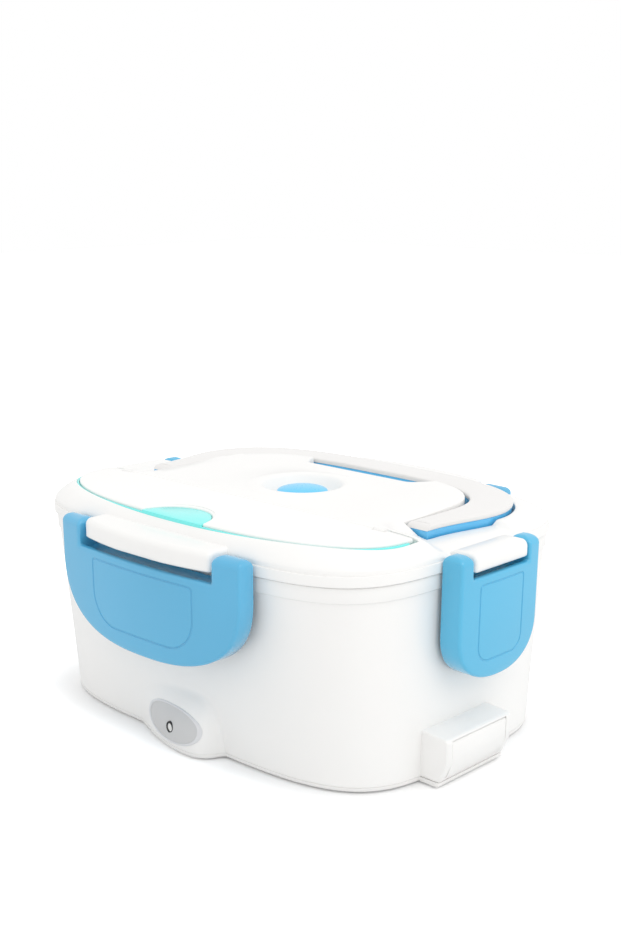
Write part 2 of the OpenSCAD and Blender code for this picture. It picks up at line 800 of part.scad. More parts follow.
module dome_form() {
    loft(concat(
        [ring(lid_hx, lid_hy, lid_z)],
        [for (d = dome) ring(lid_hx * d[0], lid_hy * d[0], skirt_z + dome_h * d[1])]
    ));
}

module dome_cavity() {
    loft(concat(
        [ring(lid_hx - lid_t, lid_hy - lid_t, lid_z - 1)],
        [for (d = dome) ring(lid_hx * d[0] - lid_t, lid_hy * d[0] - lid_t, skirt_z - 1 + (dome_h + 1 - lid_t) * d[1])]
    ));
}

// Bar that carries a latch, seen from its pin: out is -Y
module latch_bar(half, r, bow) {
    low = lid_z + 0.3 - pin_z;
    difference() {
        union() {
            intersection() {
                rod_x(r, 2 * half);
                union() {
                    box([-half, 0, low], [half, pin_out + 6, far]);
                    translate([0, bow - r, low]) cylinder(r = bow, h = far, $fn = 240);
                }
                box([-half, -far, low], [half, far, r * 0.55]);
            }
            // web between the bar and the skirt
            box([-half, 0, low], [half, pin_out + bar_web, skirt_z - pin_z + 2]);
        }
        both_x() translate([half - pin_in, 0, 0]) rotate([0, 90, 0]) cylinder(r = pin_r + play, h = far);
    }
}

module place_wide() {
    for (turn = [0, 180]) rotate([0, 0, turn]) translate([0, -wide_pin, pin_z]) children();
}

module place_slim() {
    for (turn = [90, -90]) rotate([0, 0, turn]) translate([0, -slim_pin, pin_z]) children();
}

module lid_bars() {
    place_wide() latch_bar(wide_bar, wide_bar_r, wide_bar_bow);
    place_slim() latch_bar(slim_bar, slim_bar_r, slim_bow);
}

module pocket_walls() {
    translate([0, 0, pocket_z]) {
        linear_extrude(far) polygon(half_oval(tray_out + 0.1 + pocket_t, pocket_back + pocket_t));
        linear_extrude(far) polygon(handle_outline(recess_gap + pocket_t));
        translate([0, vent_y, 0]) cylinder(r = dish_r + pocket_t, h = far);
        linear_extrude(far) polygon(scoop_outline(pocket_t));
    }
    // bosses round the handle's pivot pins
    both_x() translate([handle_gap / 2 - recess_gap - pivot_in, pivot_y, pivot_z]) rod_x(pivot_r + 2.2, 2 * pivot_in);
}

// Finger scoop between the vent's platform and the handle's back bar
function scoop_outline(grow) = [
    [-scoop_w / 2 - grow, scoop_front - grow], [scoop_w / 2 + grow, scoop_front - grow],
    [scoop_w / 2 + scoop_flare + grow, scoop_back], [-scoop_w / 2 - scoop_flare - grow, scoop_back]
];

module lid_shell() color("white") {
    difference() {
        union() {
            dome_form();
            lid_bars();
            // raised rim of the vent's dish
            translate([0, vent_y, top_z - 4]) cylinder(r = dish_r + dish_lip, h = 4 + dish_rim);
            // lugs of the spoon cover's hinge
            both_x() translate([lug_x + gap, 0, 0]) hinge_lug();
        }
        difference() {
            dome_cavity();
            pocket_walls();
        }
        box([-far, -far, 0], [far, far, lid_z]);
        difference() {
            translate([0, 0, pocket_z + lid_t - 0.6]) linear_extrude(far)
                polygon(half_oval(tray_out + 0.1, pocket_back));
            both_x() translate([lug_x + gap, 0, 0]) hinge_lug();
        }
        translate([0, 0, channel_z]) linear_extrude(far) polygon(handle_outline(recess_gap));
        translate([0, 0, channel_z]) linear_extrude(far) polygon(scoop_outline(0));
        // vent: a dish with a flat floor and a hole for the stem
        translate([0, vent_y, 0]) {
            rotate_extrude() polygon([
                [0, dish_floor], [knob_r + 1.5, dish_floor], [knob_r + 4.5, dish_floor + 0.5],
                [dish_r - 5, dish_floor + 2.1], [dish_r - 1.6, top_z + dish_rim - 1], [dish_r, top_z + dish_rim + eps],
                [0, top_z + dish_rim + eps]
            ]);
            cylinder(r = stem_r + gap, h = far);
        }
        // bores of the spoon cover's pins and of the handle's pins
        both_x() translate([lug_x + gap - 1, spoon_hinge_y, hinge_z]) rotate([0, 90, 0])
            cylinder(r = barrel_pin_r + play, h = lug_w);
        both_x() translate([handle_gap / 2 - recess_gap - pivot_in - 0.4, pivot_y, pivot_z]) rotate([0, 90, 0])
            cylinder(r = pivot_r + play, h = pivot_in + 2);
    }
}

// Lug that carries one pin of the spoon cover, joined to the wall behind it
module hinge_lug() {
    translate([0, spoon_hinge_y, hinge_z]) rotate([0, 90, 0]) cylinder(r = barrel_r, h = lug_w);
    box([0, spoon_hinge_y, pocket_z + 1], [lug_w, spoon_hinge_y + barrel_r + 1, hinge_z + 0.6]);
}

module lid_liner() color("whitesmoke") {
    difference() {
        loft([
            ring(lid_hx - lid_t - gap, lid_hy - lid_t - gap, inner_z),
            ring(lid_hx - lid_t - gap, lid_hy - lid_t - gap, pocket_z)
        ]);
        translate([0, vent_y, 0]) cylinder(r = stem_r + gap, h = far);
    }
}

module lid_seal() color("lightgray") {
    out_x = well_hx + 2;
    out_y = well_hy + 2;
    in_x = out_x - 4.2;
    in_y = out_y - 4.2;
    loft([
        ring(out_x, out_y, seal_z + 0.4),
        ring(out_x, out_y, inner_z),
        ring(in_x, in_y, inner_z),
        ring(in_x, in_y, seal_z + 0.4),
        ring(in_x + 1.2, in_y + 1.2, seal_z),
        ring(out_x - 1.2, out_y - 1.2, seal_z)
    ], closed = true);
}

// ---- Spoon compartment ----

module finger_tab(grow, low, high) {
    translate([0, -spoon_front + tab_in - tab_r, low]) cylinder(r = tab_r + grow, h = high - low);
}

module spoon_tray() color("paleturquoise") {
    floor_low = tray_floor - tray_t;
    inner_back = tray_back - tray_t;
    difference() {
        union() {
            loft([
                lifted(half_oval(tray_out, tray_back), floor_low),
                lifted(half_oval(tray_out, tray_back), tray_rim),
                lifted(half_oval(gap, inner_back), tray_rim),
                lifted(half_oval(gap, inner_back), spoon_under - gap),
                lifted(half_oval(-tray_ledge, inner_back - tray_ledge), spoon_under - gap),
                lifted(half_oval(-tray_ledge, inner_back - tray_ledge), tray_floor)
            ]);
            // finger tab that shows through the notch of the cover
            intersection() {
                translate([0, 0, tray_floor - eps]) linear_extrude(far) polygon(half_oval(tray_out, tray_back));
                difference() {
                    finger_tab(0, tray_floor - eps, spoon_top - 0.2);
                    finger_tab(-1.4, tray_floor - 1, spoon_under - 1);
                }
            }
        }
        // room for the hinge: the rear wall stays below the cover's barrel
        box([-far, spoon_hinge_y - barrel_r - 1, hinge_z - barrel_r - gap], [far, far, far]);
        both_x() box([lug_x, spoon_hinge_y - barrel_r - gap, floor_low - 1], [lug_x + lug_w + 2 * gap, far, far]);
    }
}

module spoon_cover() color("white") {
    flat_back = spoon_hinge_y + 0.4;
    difference() {
        union() {
            loft([
                lifted(half_oval(-0.3, flat_back), spoon_under),
                lifted(half_oval(0, flat_back), spoon_under + 0.4),
                lifted(half_oval(0, flat_back), spoon_top - 0.5),
                lifted(half_oval(-0.5, flat_back), spoon_top),
                lifted(half_oval(-14, flat_back), spoon_top + 0.7),
                lifted(half_oval(-26, flat_back), spoon_top + 0.9)
            ]);
            translate([0, spoon_hinge_y, hinge_z]) rod_x(barrel_r, 2 * lug_x);
        }
        finger_tab(gap, 0, far);
        both_x() box([lug_x, spoon_hinge_y - barrel_r - gap, 0], [lug_x + lug_w + 2 * gap, far, far]);
    }
    both_x() translate([lug_x - 1, spoon_hinge_y, hinge_z]) rotate([0, 90, 0])
        cylinder(r = barrel_pin_r, h = lug_w - 1.5);
}

module spoon() color("silver") {
    z = tray_floor + gap;
    bowl_x = spoon_len / 2 - bowl_len / 2;
    translate([bowl_x, spoon_y, z]) loft(concat(
        [for (t = [0.3, 0.62, 0.84, 1]) ring(bowl_len / 2 * t, bowl_w / 2 * t, bowl_d * pow(t, 2.4), 2, 32)],
        [for (t = [1, 0.84, 0.62, 0.3])
            ring(bowl_len / 2 * t - spoon_t, bowl_w / 2 * t - spoon_t, bowl_d * pow(t, 2.4) + spoon_t * 0.7, 2, 32)]
    ));
    // stem: narrow at the bowl, wide at its end
    neck = bowl_x - bowl_len / 2 + 3;
    tail = -spoon_len / 2;
    difference() {
        translate([0, spoon_y, z + bowl_d - 1.4]) linear_extrude(stem_t) polygon(concat(
            [[neck, -2.4], [neck, 2.4]],
            [for (i = [0 : 12]) let (a = 90 + 180 * i / 12) [tail + 6 + 6 * cos(a), 6 * sin(a)]]
        ));
        // groove along the stem
        translate([tail + 14, spoon_y - 1, z + bowl_d]) cube([neck - tail - 30, 2, stem_t]);
    }
}

// ---- Steam vent ----

module vent_plug() color("deepskyblue") {
    translate([0, vent_y, 0]) {
        rotate_extrude() polygon(concat(
            [[0, knob_z], [knob_r - 0.6, knob_z], [knob_r, knob_z + 0.6], [knob_r, knob_z + 1.6]],
            [for (i = [0 : 8]) let (a = 90 * i / 8) [knob_r * cos(a), knob_z + 1.6 + 2.6 * sin(a)]]
        ));
        translate([0, 0, pocket_z + 2]) cylinder(r = stem_r, h = knob_z - pocket_z - 1.5);
    }
}

module vent_gasket() color("lightgray") {
    translate([0, vent_y, dish_floor + gap]) difference() {
        cylinder(r = stem_r + 4, h = knob_z - dish_floor - gap);
        translate([0, 0, -1]) cylinder(r = stem_r, h = 4);
    }
}

// ---- Carry handle ----

module handle_core() color("#66C0EA") {
    difference() {
        union() {
            translate([0, 0, core_z]) linear_extrude(core_h) polygon(handle_outline(-0.6));
            // the arms end round their pivots
            both_x() translate([arm_x, pivot_y, pivot_z]) rod_x(pivot_end, pivot_end_w);
        }
        // round the ends of the arms
        both_x() difference() {
            box([0, pivot_y - pivot_end - 1, core_z - 1], [far, pivot_y, handle_top + 1]);
            translate([arm_x, pivot_y, pivot_z]) rod_x(pivot_end, far);
        }
        translate([0, 0, skin_z]) linear_extrude(far) polygon(handle_outline(1));
    }
    // the rounded ends reach up beside the skin
    both_x() intersection() {
        translate([arm_x, pivot_y, pivot_z]) rod_x(pivot_end, pivot_end_w);
        box([0, -far, core_z], [far, pivot_y + 0.5, handle_top]);
    }
    both_x() translate([handle_gap / 2 - pivot_in, pivot_y, pivot_z]) rotate([0, 90, 0])
        cylinder(r = pivot_r, h = pivot_in + 2);
}

module handle_cover() color("gainsboro") {
    difference() {
        union() {
            translate([0, 0, skin_z]) linear_extrude(skin_h - 0.8) polygon(handle_outline(-0.2));
            translate([0, 0, skin_z]) linear_extrude(skin_h) polygon(handle_outline(-1));
        }
        box([-far, -far, 0], [far, pivot_y + 0.5, far]);
    }
}

// ---- Latches ----

// Front view of a latch, seen from its pin: straight ears above and a round shield below
function shield(half, low, shoulder, e, n = 28) = concat(
    [[half, ear_r]],
    [for (i = [0 : n]) let (a = 180 * i / n)
        [half * powered(cos(a), 2 / e), shoulder - (shoulder - low) * powered(sin(a), 2 / e)]],
    [[-half, ear_r]]
);

// Side view of a latch: its back edge, the round ear and the face
function latch_side(face) = concat(
    [[ear_r, -far], [ear_r, 0]],
    [for (i = [1 : 8]) let (a = 90 * i / 8) [ear_r * cos(a), ear_r * sin(a)]],
    [for (i = [1 : 8]) let (a = 90 + 90 * i / 8) [(face + 1) * cos(a), ear_r * sin(a)]],
    [[-face - 1, -far]]
);

// A latch seen from its pin: out is -Y. It turns clear of everything within its swing round the pin
module latch(half, notch, bar, face, bow, low, shoulder, e, drop, swing) {
    line_in = half * 0.43;
    line_out = line_in - groove_w;
    difference() {
        union() {
            difference() {
                intersection() {
                    along_y(80) polygon(shield(half, low, shoulder, e));
                    translate([0, bow - face, -100]) cylinder(r = bow, h = 200, $fn = 360);
                    along_x(3 * half) polygon(latch_side(face));
                }
                // hollow back
                intersection() {
                    along_y(80) polygon(shield_back(half, low, shoulder, e, swing));
                    translate([0, bow - face, -100]) cylinder(r = bow - latch_t, h = 200, $fn = 360);
                }
            }
            // hook that reaches under the rim of the base
            intersection() {
                along_x(1.1 * half) polygon([
                    [-face, hook_z - 3.4], [hook_tip, hook_z - 2.2], [hook_tip, hook_z - 0.6],
                    [hook_tip - 1.4, hook_z - 0.6], [-face, hook_z - 1.6]
                ]);
                translate([0, bow - face, -100]) cylinder(r = bow - latch_t / 2, h = 200, $fn = 360);
            }
        }
        // notch for the bar of the lid, and room to turn round it
        box([-notch / 2, -far, -drop], [notch / 2, far, far]);
        rod_x(swing, notch);
        // fine line round the face
        difference() {
            along_y(80) polygon(face_line(half, low, drop, 0));
            along_y(80) polygon(face_line(half, low, drop, groove_w));
            translate([0, bow - face, -100]) cylinder(r = bow - groove_d, h = 200, $fn = 360);
        }
    }
    // stub pins
    both_x() translate([bar - pin_in + pin_end, 0, 0]) rotate([0, 90, 0])
        cylinder(r = pin_r, h = notch / 2 + 1 - bar + pin_in - pin_end);
}

// Edge of a latch's hollow back
function shield_back(half, low, shoulder, e, swing) =
    let (h = half - latch_rim, b = low + latch_rim, t = -swing - latch_rim, n = 28)
    concat(
        shoulder > t ? [] : [[h, t]],
        [for (i = [0 : n]) let (a = 180 * i / n)
            [h * powered(cos(a), 2 / e), min(t, shoulder - (shoulder - b) * powered(sin(a), 2 / e))]],
        shoulder > t ? [] : [[-h, t]]
    );

// Rounded line on a latch's face, set in by a width
function face_line(half, low, drop, inset) =
    let (w = 2 * (half * 0.57 - inset), top = -drop - 3 - inset, bottom = low + 8.2 + inset, r = half * 0.27 - inset)
    concat(
        [[-w / 2, top], [w / 2, top]],
        [for (i = [0 : 6]) let (a = -90 * i / 6) [w / 2 - r + r * cos(a), bottom + r + r * sin(a)]],
        [for (i = [0 : 6]) let (a = -90 - 90 * i / 6) [-w / 2 + r + r * cos(a), bottom + r + r * sin(a)]]
    );

module wide_latch() {
    latch(wide_len / 2, wide_notch, wide_bar, wide_out, wide_bow, -wide_tall, wide_shoulder, wide_exp, flap_drop,
        wide_bar_r + gap);
}

module slim_latch() {
    latch(slim_len / 2, slim_notch, slim_bar, slim_out, slim_bow, -slim_tall, slim_shoulder, slim_exp, slim_drop,
        slim_bar_r + gap);
}

module latch_front() color("#66B0D8") translate([0, -wide_pin, pin_z]) wide_latch();
module latch_back() color("#66B0D8") rotate([0, 0, 180]) translate([0, -wide_pin, pin_z]) wide_latch();
module latch_right() color("#6CC6F0") rotate([0, 0, 90]) translate([0, -slim_pin, pin_z]) slim_latch();
module latch_left() color("#6CC6F0") rotate([0, 0, -90]) translate([0, -slim_pin, pin_z]) slim_latch();

// ---- Dishes ----

module food_container() color("aliceblue") {
    hx = well_hx - dish_gap;
    hy = well_hy - dish_gap;
    fx = floor_hx - dish_gap;
    fy = floor_hy - dish_gap;
    loft([
        ring(fx - 5, fy - 5, dish_z),
        ring(fx, fy, dish_z + 4),
        ring(hx, hy, dish_rim_z),
        ring(hx + dish_rim_w, hy + dish_rim_w, dish_rim_z),
        ring(hx + dish_rim_w, hy + dish_rim_w, dish_rim_z + dish_rim_t),
        ring(hx - dish_t, hy - dish_t, dish_rim_z + dish_rim_t),
        ring(fx - dish_t, fy - dish_t, dish_z + 4),
        ring(fx - dish_t - 4, fy - dish_t - 4, dish_floor_z)
    ]);
}

module side_tray() color("lightcyan") {
    hx = side_len / 2;
    hy = side_dep / 2;
    fx = hx - side_taper;
    fy = hy - side_taper;
    t = dish_t - 0.2;
    translate([side_x, 0, 0]) loft([
        ring(fx - 3, fy - 3, side_z),
        ring(fx, fy, side_z + 3),
        ring(hx - 0.4, hy - 0.4, side_top - 3),
        ring(hx, hy, side_top - 3),
        ring(hx, hy, side_top),
        ring(hx - t, hy - t, side_top),
        ring(fx - t, fy - t, side_z + 4),
        ring(fx - t - 3, fy - t - 3, side_z + t)
    ]);
}

module side_tray_lid() color("paleturquoise") {
    hx = side_len / 2;
    hy = side_dep / 2;
    rim = side_top + gap;
    translate([side_x, 0, 0]) {
        difference() {
            loft([
                ring(hx - side_plug, hy - side_plug, rim - 2.7),
                ring(hx - side_plug, hy - side_plug, rim),
                ring(hx, hy, rim),
                ring(hx, hy, rim + 1.2),
                ring(hx - 1, hy - 1, rim + 1.7)
            ]);
            translate([0, 0, rim - 3.3]) linear_extrude(2.6) polygon(oval(hx - side_plug - 1.2, hy - side_plug - 1.2));
        }
        // tab for a finger
        box([-side_tab / 2, -1, rim + 1], [side_tab / 2, 1, rim + 4]);
    }
}

outer_housing();
bottom_cover();
cover_screws();
rubber_feet();
inner_liner();
heating_plate();
ptc_heaters();
heater_clamp();
thermostat();
thermal_fuse();
wiring();
inlet_socket();
inlet_pins();
inlet_flap();
inlet_flap_pin();
indicator_badge();
indicator_lens();
lamp_board();
lid_shell();
lid_liner();
lid_seal();
spoon_tray();
spoon_cover();
spoon();
vent_plug();
vent_gasket();
handle_core();
handle_cover();
latch_front();
latch_back();
latch_left();
latch_right();
food_container();
side_tray();
side_tray_lid();
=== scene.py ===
"""Electric lunch box: smooth shells, latches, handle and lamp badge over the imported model, and their finishes.

Lengths named in millimetres are turned to metres by MM. X runs along the box, -Y is the front with the
lamp, the power inlet is at the +X end and Z is up.
"""

import math

import bmesh
import bpy
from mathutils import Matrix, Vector


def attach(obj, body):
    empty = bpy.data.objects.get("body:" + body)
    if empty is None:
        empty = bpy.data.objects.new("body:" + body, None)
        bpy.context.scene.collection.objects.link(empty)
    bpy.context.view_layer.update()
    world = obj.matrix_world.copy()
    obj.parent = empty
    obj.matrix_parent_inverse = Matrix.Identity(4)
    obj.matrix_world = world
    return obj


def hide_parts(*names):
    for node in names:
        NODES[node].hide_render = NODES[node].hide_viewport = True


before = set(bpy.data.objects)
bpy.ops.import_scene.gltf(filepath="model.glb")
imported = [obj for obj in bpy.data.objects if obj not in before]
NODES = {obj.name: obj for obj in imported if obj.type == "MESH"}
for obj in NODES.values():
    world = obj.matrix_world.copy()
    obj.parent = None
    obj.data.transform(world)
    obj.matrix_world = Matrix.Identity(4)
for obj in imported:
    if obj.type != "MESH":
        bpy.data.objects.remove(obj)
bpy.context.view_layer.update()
MM = 0.001

# ---- Camera: the photograph's view, with its frame of 621 by 931 pixels ----

PHOTO_W, PHOTO_H = 621, 931
FOCAL_PX = 1350.2
CENTRE_PX = (295.6, 615.6)
VIEW_TURN, VIEW_TILT = math.radians(43.95), math.radians(18.53)
VIEW_FAR, VIEW_AIM_Z = 654.3, 42.87
SENSOR = 36.0


def photo_camera():
    data = bpy.data.cameras.new("photo_camera")
    data.sensor_width = SENSOR
    data.lens = FOCAL_PX * SENSOR / PHOTO_H
    data.shift_x = (PHOTO_W / 2 - CENTRE_PX[0]) / PHOTO_H
    data.shift_y = (CENTRE_PX[1] - PHOTO_H / 2) / PHOTO_H
    data.clip_start = 0.01
    camera = bpy.data.objects.new("photo_camera", data)
    bpy.context.scene.collection.objects.link(camera)
    back = Vector((
        math.sin(VIEW_TURN) * math.cos(VIEW_TILT),
        -math.cos(VIEW_TURN) * math.cos(VIEW_TILT),
        math.sin(VIEW_TILT),
    ))
    camera.location = (Vector((0, 0, VIEW_AIM_Z)) + VIEW_FAR * back) * MM
    camera.rotation_euler = back.to_track_quat("Z", "Y").to_euler()
    bpy.context.scene.camera = camera


photo_camera()


# ---- Shader tools ----

class Socket:
    """One output of a shader tree, with arithmetic that adds Math nodes."""

    def __init__(self, finish, link):
        self.finish = finish
        self.link = link

    def math(self, operation, *values):
        return self.finish.add("Math", {"operation": operation}, dict(enumerate(values)))

    def __add__(self, other):
        return self.math("ADD", self, other)

    def __mul__(self, other):
        return self.math("MULTIPLY", self, other)

    def __truediv__(self, other):
        return self.math("DIVIDE", self, other)

    def __pow__(self, other):
        return self.math("POWER", self, other)

    def __abs__(self):
        return self.math("ABSOLUTE", self)


class Finish:
    """A material built around one Principled shader."""

    def __init__(self, name, roughness=0.3, **fixed):
        self.material = bpy.data.materials.new(name)
        self.material.use_nodes = True
        self.tree = self.material.node_tree
        self.shader = self.tree.nodes["Principled BSDF"]
        self.shader.inputs["Roughness"].default_value = roughness
        for socket, value in fixed.items():
            self.shader.inputs[socket.replace("_", " ")].default_value = value

    def add(self, kind, settings=None, sockets=None, out=0):
        """Adds a shader node: its settings first, then the values or links of its sockets."""
        node = self.tree.nodes.new("ShaderNode" + kind)
        for key, value in (settings or {}).items():
            setattr(node, key, value)
        for key, value in (sockets or {}).items():
            if isinstance(value, Socket):
                self.tree.links.new(value.link, node.inputs[key])
            else:
                node.inputs[key].default_value = value
        return Socket(self, node.outputs[out])

    def feed(self, socket, value):
        self.tree.links.new(value.link, self.shader.inputs[socket])

    def place(self, axis=None):
        """Object-space position, or one axis of it, in metres."""
        spot = self.add("TexCoord", out="Object")
        if axis is None:
            return spot
        return self.add("SeparateXYZ", {}, {0: spot}, out=axis)

    def noise(self, scale, detail=2.0):
        return self.add("TexNoise", {}, {"Vector": self.place(), "Scale": scale, "Detail": detail})

    def blend(self, amount, first, second):
        """Mixes two colours, given as wires or as red, green, blue."""
        ends = {6: first, 7: second}
        for key, value in ends.items():
            if not isinstance(value, Socket):
                ends[key] = (*value, 1.0)
        return self.add("Mix", {"data_type": "RGBA"}, {0: amount, **ends}, out=2)

    def step(self, value, low, high):
        """0 below low, 1 above high, and smooth between."""
        return self.add(
            "MapRange", {"interpolation_type": "SMOOTHSTEP", "clamp": True}, {0: value, 1: low, 2: high}
        )

    def bump(self, height, strength, distance):
        sockets = {"Height": height, "Strength": strength, "Distance": distance}
        self.feed("Normal", self.add("Bump", {}, sockets))


def rgb(red, green, blue):
    """A colour as it is read off a screen, 0 to 255, in the linear values that the shader takes."""
    return tuple(((v / 255 + 0.055) / 1.055) ** 2.4 if v > 10 else v / 255 / 12.92 for v in (red, green, blue))


# ---- Finishes ----

def moulded(name, colour, roughness=0.3, shade=0.97, grain=0.012, coat=0.25):
    """Glossy moulded plastic: faint flow marks in colour and roughness, and a very fine grain."""
    finish = Finish(name, roughness, Coat_Weight=coat, Coat_Roughness=0.12, IOR=1.5)
    flow = finish.noise(9.0, 3.0)
    darker = tuple(v * shade for v in colour)
    finish.feed("Base Color", finish.blend(finish.step(flow, 0.35, 0.7), colour, darker))
    fine = finish.noise(900.0, 2.0)
    finish.feed("Roughness", flow * 0.06 + fine * 0.04 + (roughness - 0.05))
    finish.bump(fine * 0.5 + finish.noise(60.0) * 0.5, grain * 4, 0.0002)
    return finish


def plain_plastic(name, colour, roughness=0.45):
    return moulded(name, colour, roughness, coat=0.0, grain=0.02)


def brushed_metal(name, colour, roughness=0.35):
    """Metal with fine lines along the box."""
    finish = Finish(name, roughness, Metallic=1.0)
    lines = finish.add("TexNoise", {}, {
        "Vector": finish.add("Mapping", {}, {0: finish.place(), "Scale": (4.0, 220.0, 220.0)}),
        "Scale": 6.0, "Detail": 3.0,
    })
    darker = tuple(v * 0.8 for v in colour)
    finish.feed("Base Color", finish.blend(lines, colour, darker))
    finish.feed("Roughness", lines * 0.2 + (roughness - 0.1))
    finish.bump(lines, 0.15, 0.0001)
    return finish


def soft_rubber(name, colour):
    finish = Finish(name, 0.75)
    grain = finish.noise(700.0, 3.0)
    finish.feed("Base Color", finish.blend(grain, colour, tuple(v * 0.85 for v in colour)))
    finish.bump(grain, 0.2, 0.0002)
    return finish


# ---- Mesh tools ----

OUTLINE_EXP = 4.3
AROUND = 480


def powered(value, exponent):
    return math.copysign(abs(value) ** exponent, value)


def even_turns(hx, hy, exponent, count, start=0.0, stop=360.0, tries=6000):
    """Angles of a superellipse that lie evenly along its outline."""
    angles = [math.radians(start + (stop - start) * i / tries) for i in range(tries + 1)]
    spots = [(hx * powered(math.cos(a), 2 / exponent), hy * powered(math.sin(a), 2 / exponent)) for a in angles]
    walked = [0.0]
    for here, there in zip(spots, spots[1:]):
        walked.append(walked[-1] + math.dist(here, there))
    whole = abs(stop - start) > 359
    goals = [walked[-1] * i / (count if whole else count - 1) for i in range(count)]
    turns, j = [], 0
    for goal in goals:
        while j < tries - 1 and walked[j + 1] < goal:
            j += 1
        span = walked[j + 1] - walked[j]
        share = (goal - walked[j]) / span if span > 0 else 0.0
        turns.append(angles[j] + (angles[j + 1] - angles[j]) * share)
    return turns


ALL_ROUND = even_turns(108.0, 84.0, OUTLINE_EXP, AROUND)


def oval(hx, hy, exponent=OUTLINE_EXP, turns=ALL_ROUND):
    """A superellipse with its points at the given angles."""
    power = 2 / exponent
    return [(hx * powered(math.cos(a), power), hy * powered(math.sin(a), power)) for a in turns]


def lifted(outline, z):
    return [(x, y, z) for x, y in outline]


def skin(rings, closed=False):
    """A bmesh through rings of equally many points, in millimetres, with both ends capped unless it is closed."""
    made = bmesh.new()
    loops = [[made.verts.new((x * MM, y * MM, z * MM)) for x, y, z in ring] for ring in rings]
    count = len(loops[0])
    pairs = list(zip(loops, loops[1:]))
    if closed:
        pairs.append((loops[-1], loops[0]))
    for low, high in pairs:
        for i in range(count):
            k = (i + 1) % count
            made.faces.new((low[i], low[k], high[k], high[i]))
    if not closed:
        made.faces.new(list(reversed(loops[0])))
        made.faces.new(loops[-1])
    bmesh.ops.recalc_face_normals(made, faces=made.faces)
    return made


def as_piece(name, made, finish=None):
    """Turns a bmesh into an object."""
    mesh = bpy.data.meshes.new(name)
    made.to_mesh(mesh)
    made.free()
    piece = bpy.data.objects.new(name, mesh)
    bpy.context.scene.collection.objects.link(piece)
    if finish:
        mesh.materials.append(finish.material)
    smooth(piece)
    return piece


def smooth(piece, sharp_deg=32):
    """Shades a piece smooth but for its sharp edges."""
    piece.data.polygons.foreach_set("use_smooth", [True] * len(piece.data.polygons))
    piece.data.set_sharp_from_angle(angle=math.radians(sharp_deg))


def settle(piece):
    """Applies the modifiers of a piece."""
    shown = piece.evaluated_get(bpy.context.evaluated_depsgraph_get())
    mesh = bpy.data.meshes.new_from_object(shown)
    piece.modifiers.clear()
    piece.data = mesh


def carve(piece, cutter, operation="DIFFERENCE"):
    """Cuts, adds or keeps the cutter's room in a piece, and removes the cutter."""
    knife = piece.modifiers.new("cut", "BOOLEAN")
    knife.operation = operation
    knife.solver = "EXACT"
    knife.object = cutter
    settle(piece)
    bpy.data.objects.remove(cutter)
    smooth(piece)


def rounded(piece, width, segments=2, angle_deg=40):
    """Rounds the sharp edges of a piece."""
    edge = piece.modifiers.new("round", "BEVEL")
    edge.width = width * MM
    edge.segments = segments
    edge.limit_method = "ANGLE"
    edge.angle_limit = math.radians(angle_deg)
    edge.use_clamp_overlap = True
    edge.harden_normals = False
    settle(piece)
    smooth(piece, 50)
    return piece


def prism(name, outline, low, high):
    return as_piece(name, skin([lifted(outline, low), lifted(outline, high)]))


def block(name, low, high):
    """A box from its lowest to its highest corner, in millimetres."""
    corners = [(low[0], low[1]), (high[0], low[1]), (high[0], high[1]), (low[0], high[1])]
    return prism(name, corners, low[2], high[2])


AXIS_R = 0.02


def turned(name, profile, centre=(0.0, 0.0), finish=None, count=96):
    """A lathe body round a vertical axis: the profile runs from the axis out and back, or round a ring."""
    rings = []
    for radius, z in profile:
        rings.append([
            (centre[0] + radius * math.cos(2 * math.pi * i / count),
             centre[1] + radius * math.sin(2 * math.pi * i / count), z)
            for i in range(count)
        ])
    return as_piece(name, skin(rings), finish)


def rod(name, start, end, radius, count=32):
    """A round bar between two points, in millimetres."""
    a, b = Vector(start), Vector(end)
    along = (b - a).normalized()
    side = along.orthogonal().normalized()
    up = along.cross(side)
    rings = [
        [tuple(p + radius * (math.cos(t) * side + math.sin(t) * up)) for t in
         (2 * math.pi * i / count for i in range(count))]
        for p in (a, b)
    ]
    return as_piece(name, skin(rings))


def joined(name, *pieces):
    """One object out of several."""
    made = bmesh.new()
    for piece in pieces:
        made.from_mesh(piece.data)
    finish = pieces[0].data.materials[0] if pieces[0].data.materials else None
    for piece in pieces:
        bpy.data.objects.remove(piece)
    whole = as_piece(name, made)
    if finish:
        whole.data.materials.append(finish)
    return whole


def arc(centre, radius, start_deg, stop_deg, count):
    steps = [math.radians(start_deg + (stop_deg - start_deg) * i / count) for i in range(count + 1)]
    return [(centre[0] + radius * math.cos(a), centre[1] + radius * math.sin(a)) for a in steps]


def grown(outline, width):
    """A closed outline, counter-clockwise, moved outward by a width."""
    count = len(outline)
    moved = []
    for i, (x, y) in enumerate(outline):
        ax, ay = outline[i - 1]
        bx, by = outline[(i + 1) % count]
        dx, dy = bx - ax, by - ay
        size = math.hypot(dx, dy) or 1.0
        moved.append((x + dy / size * width, y - dx / size * width))
    return moved


def resampled(outline, step):
    """A closed outline with points at about even distances; its corners are kept."""
    made = []
    for (ax, ay), (bx, by) in zip(outline, outline[1:] + outline[:1]):
        parts = max(1, round(math.dist((ax, ay), (bx, by)) / step))
        made += [(ax + (bx - ax) * i / parts, ay + (by - ay) * i / parts) for i in range(parts)]
    return made


def dressed(piece, body, slot, *nodes):
    """Puts a piece on its body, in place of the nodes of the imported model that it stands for."""
    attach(piece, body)
    if nodes:
        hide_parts(*nodes)


# ---- Base: shell with lamp bulge and inlet block, bottom cover, flap, badge and lamp ----

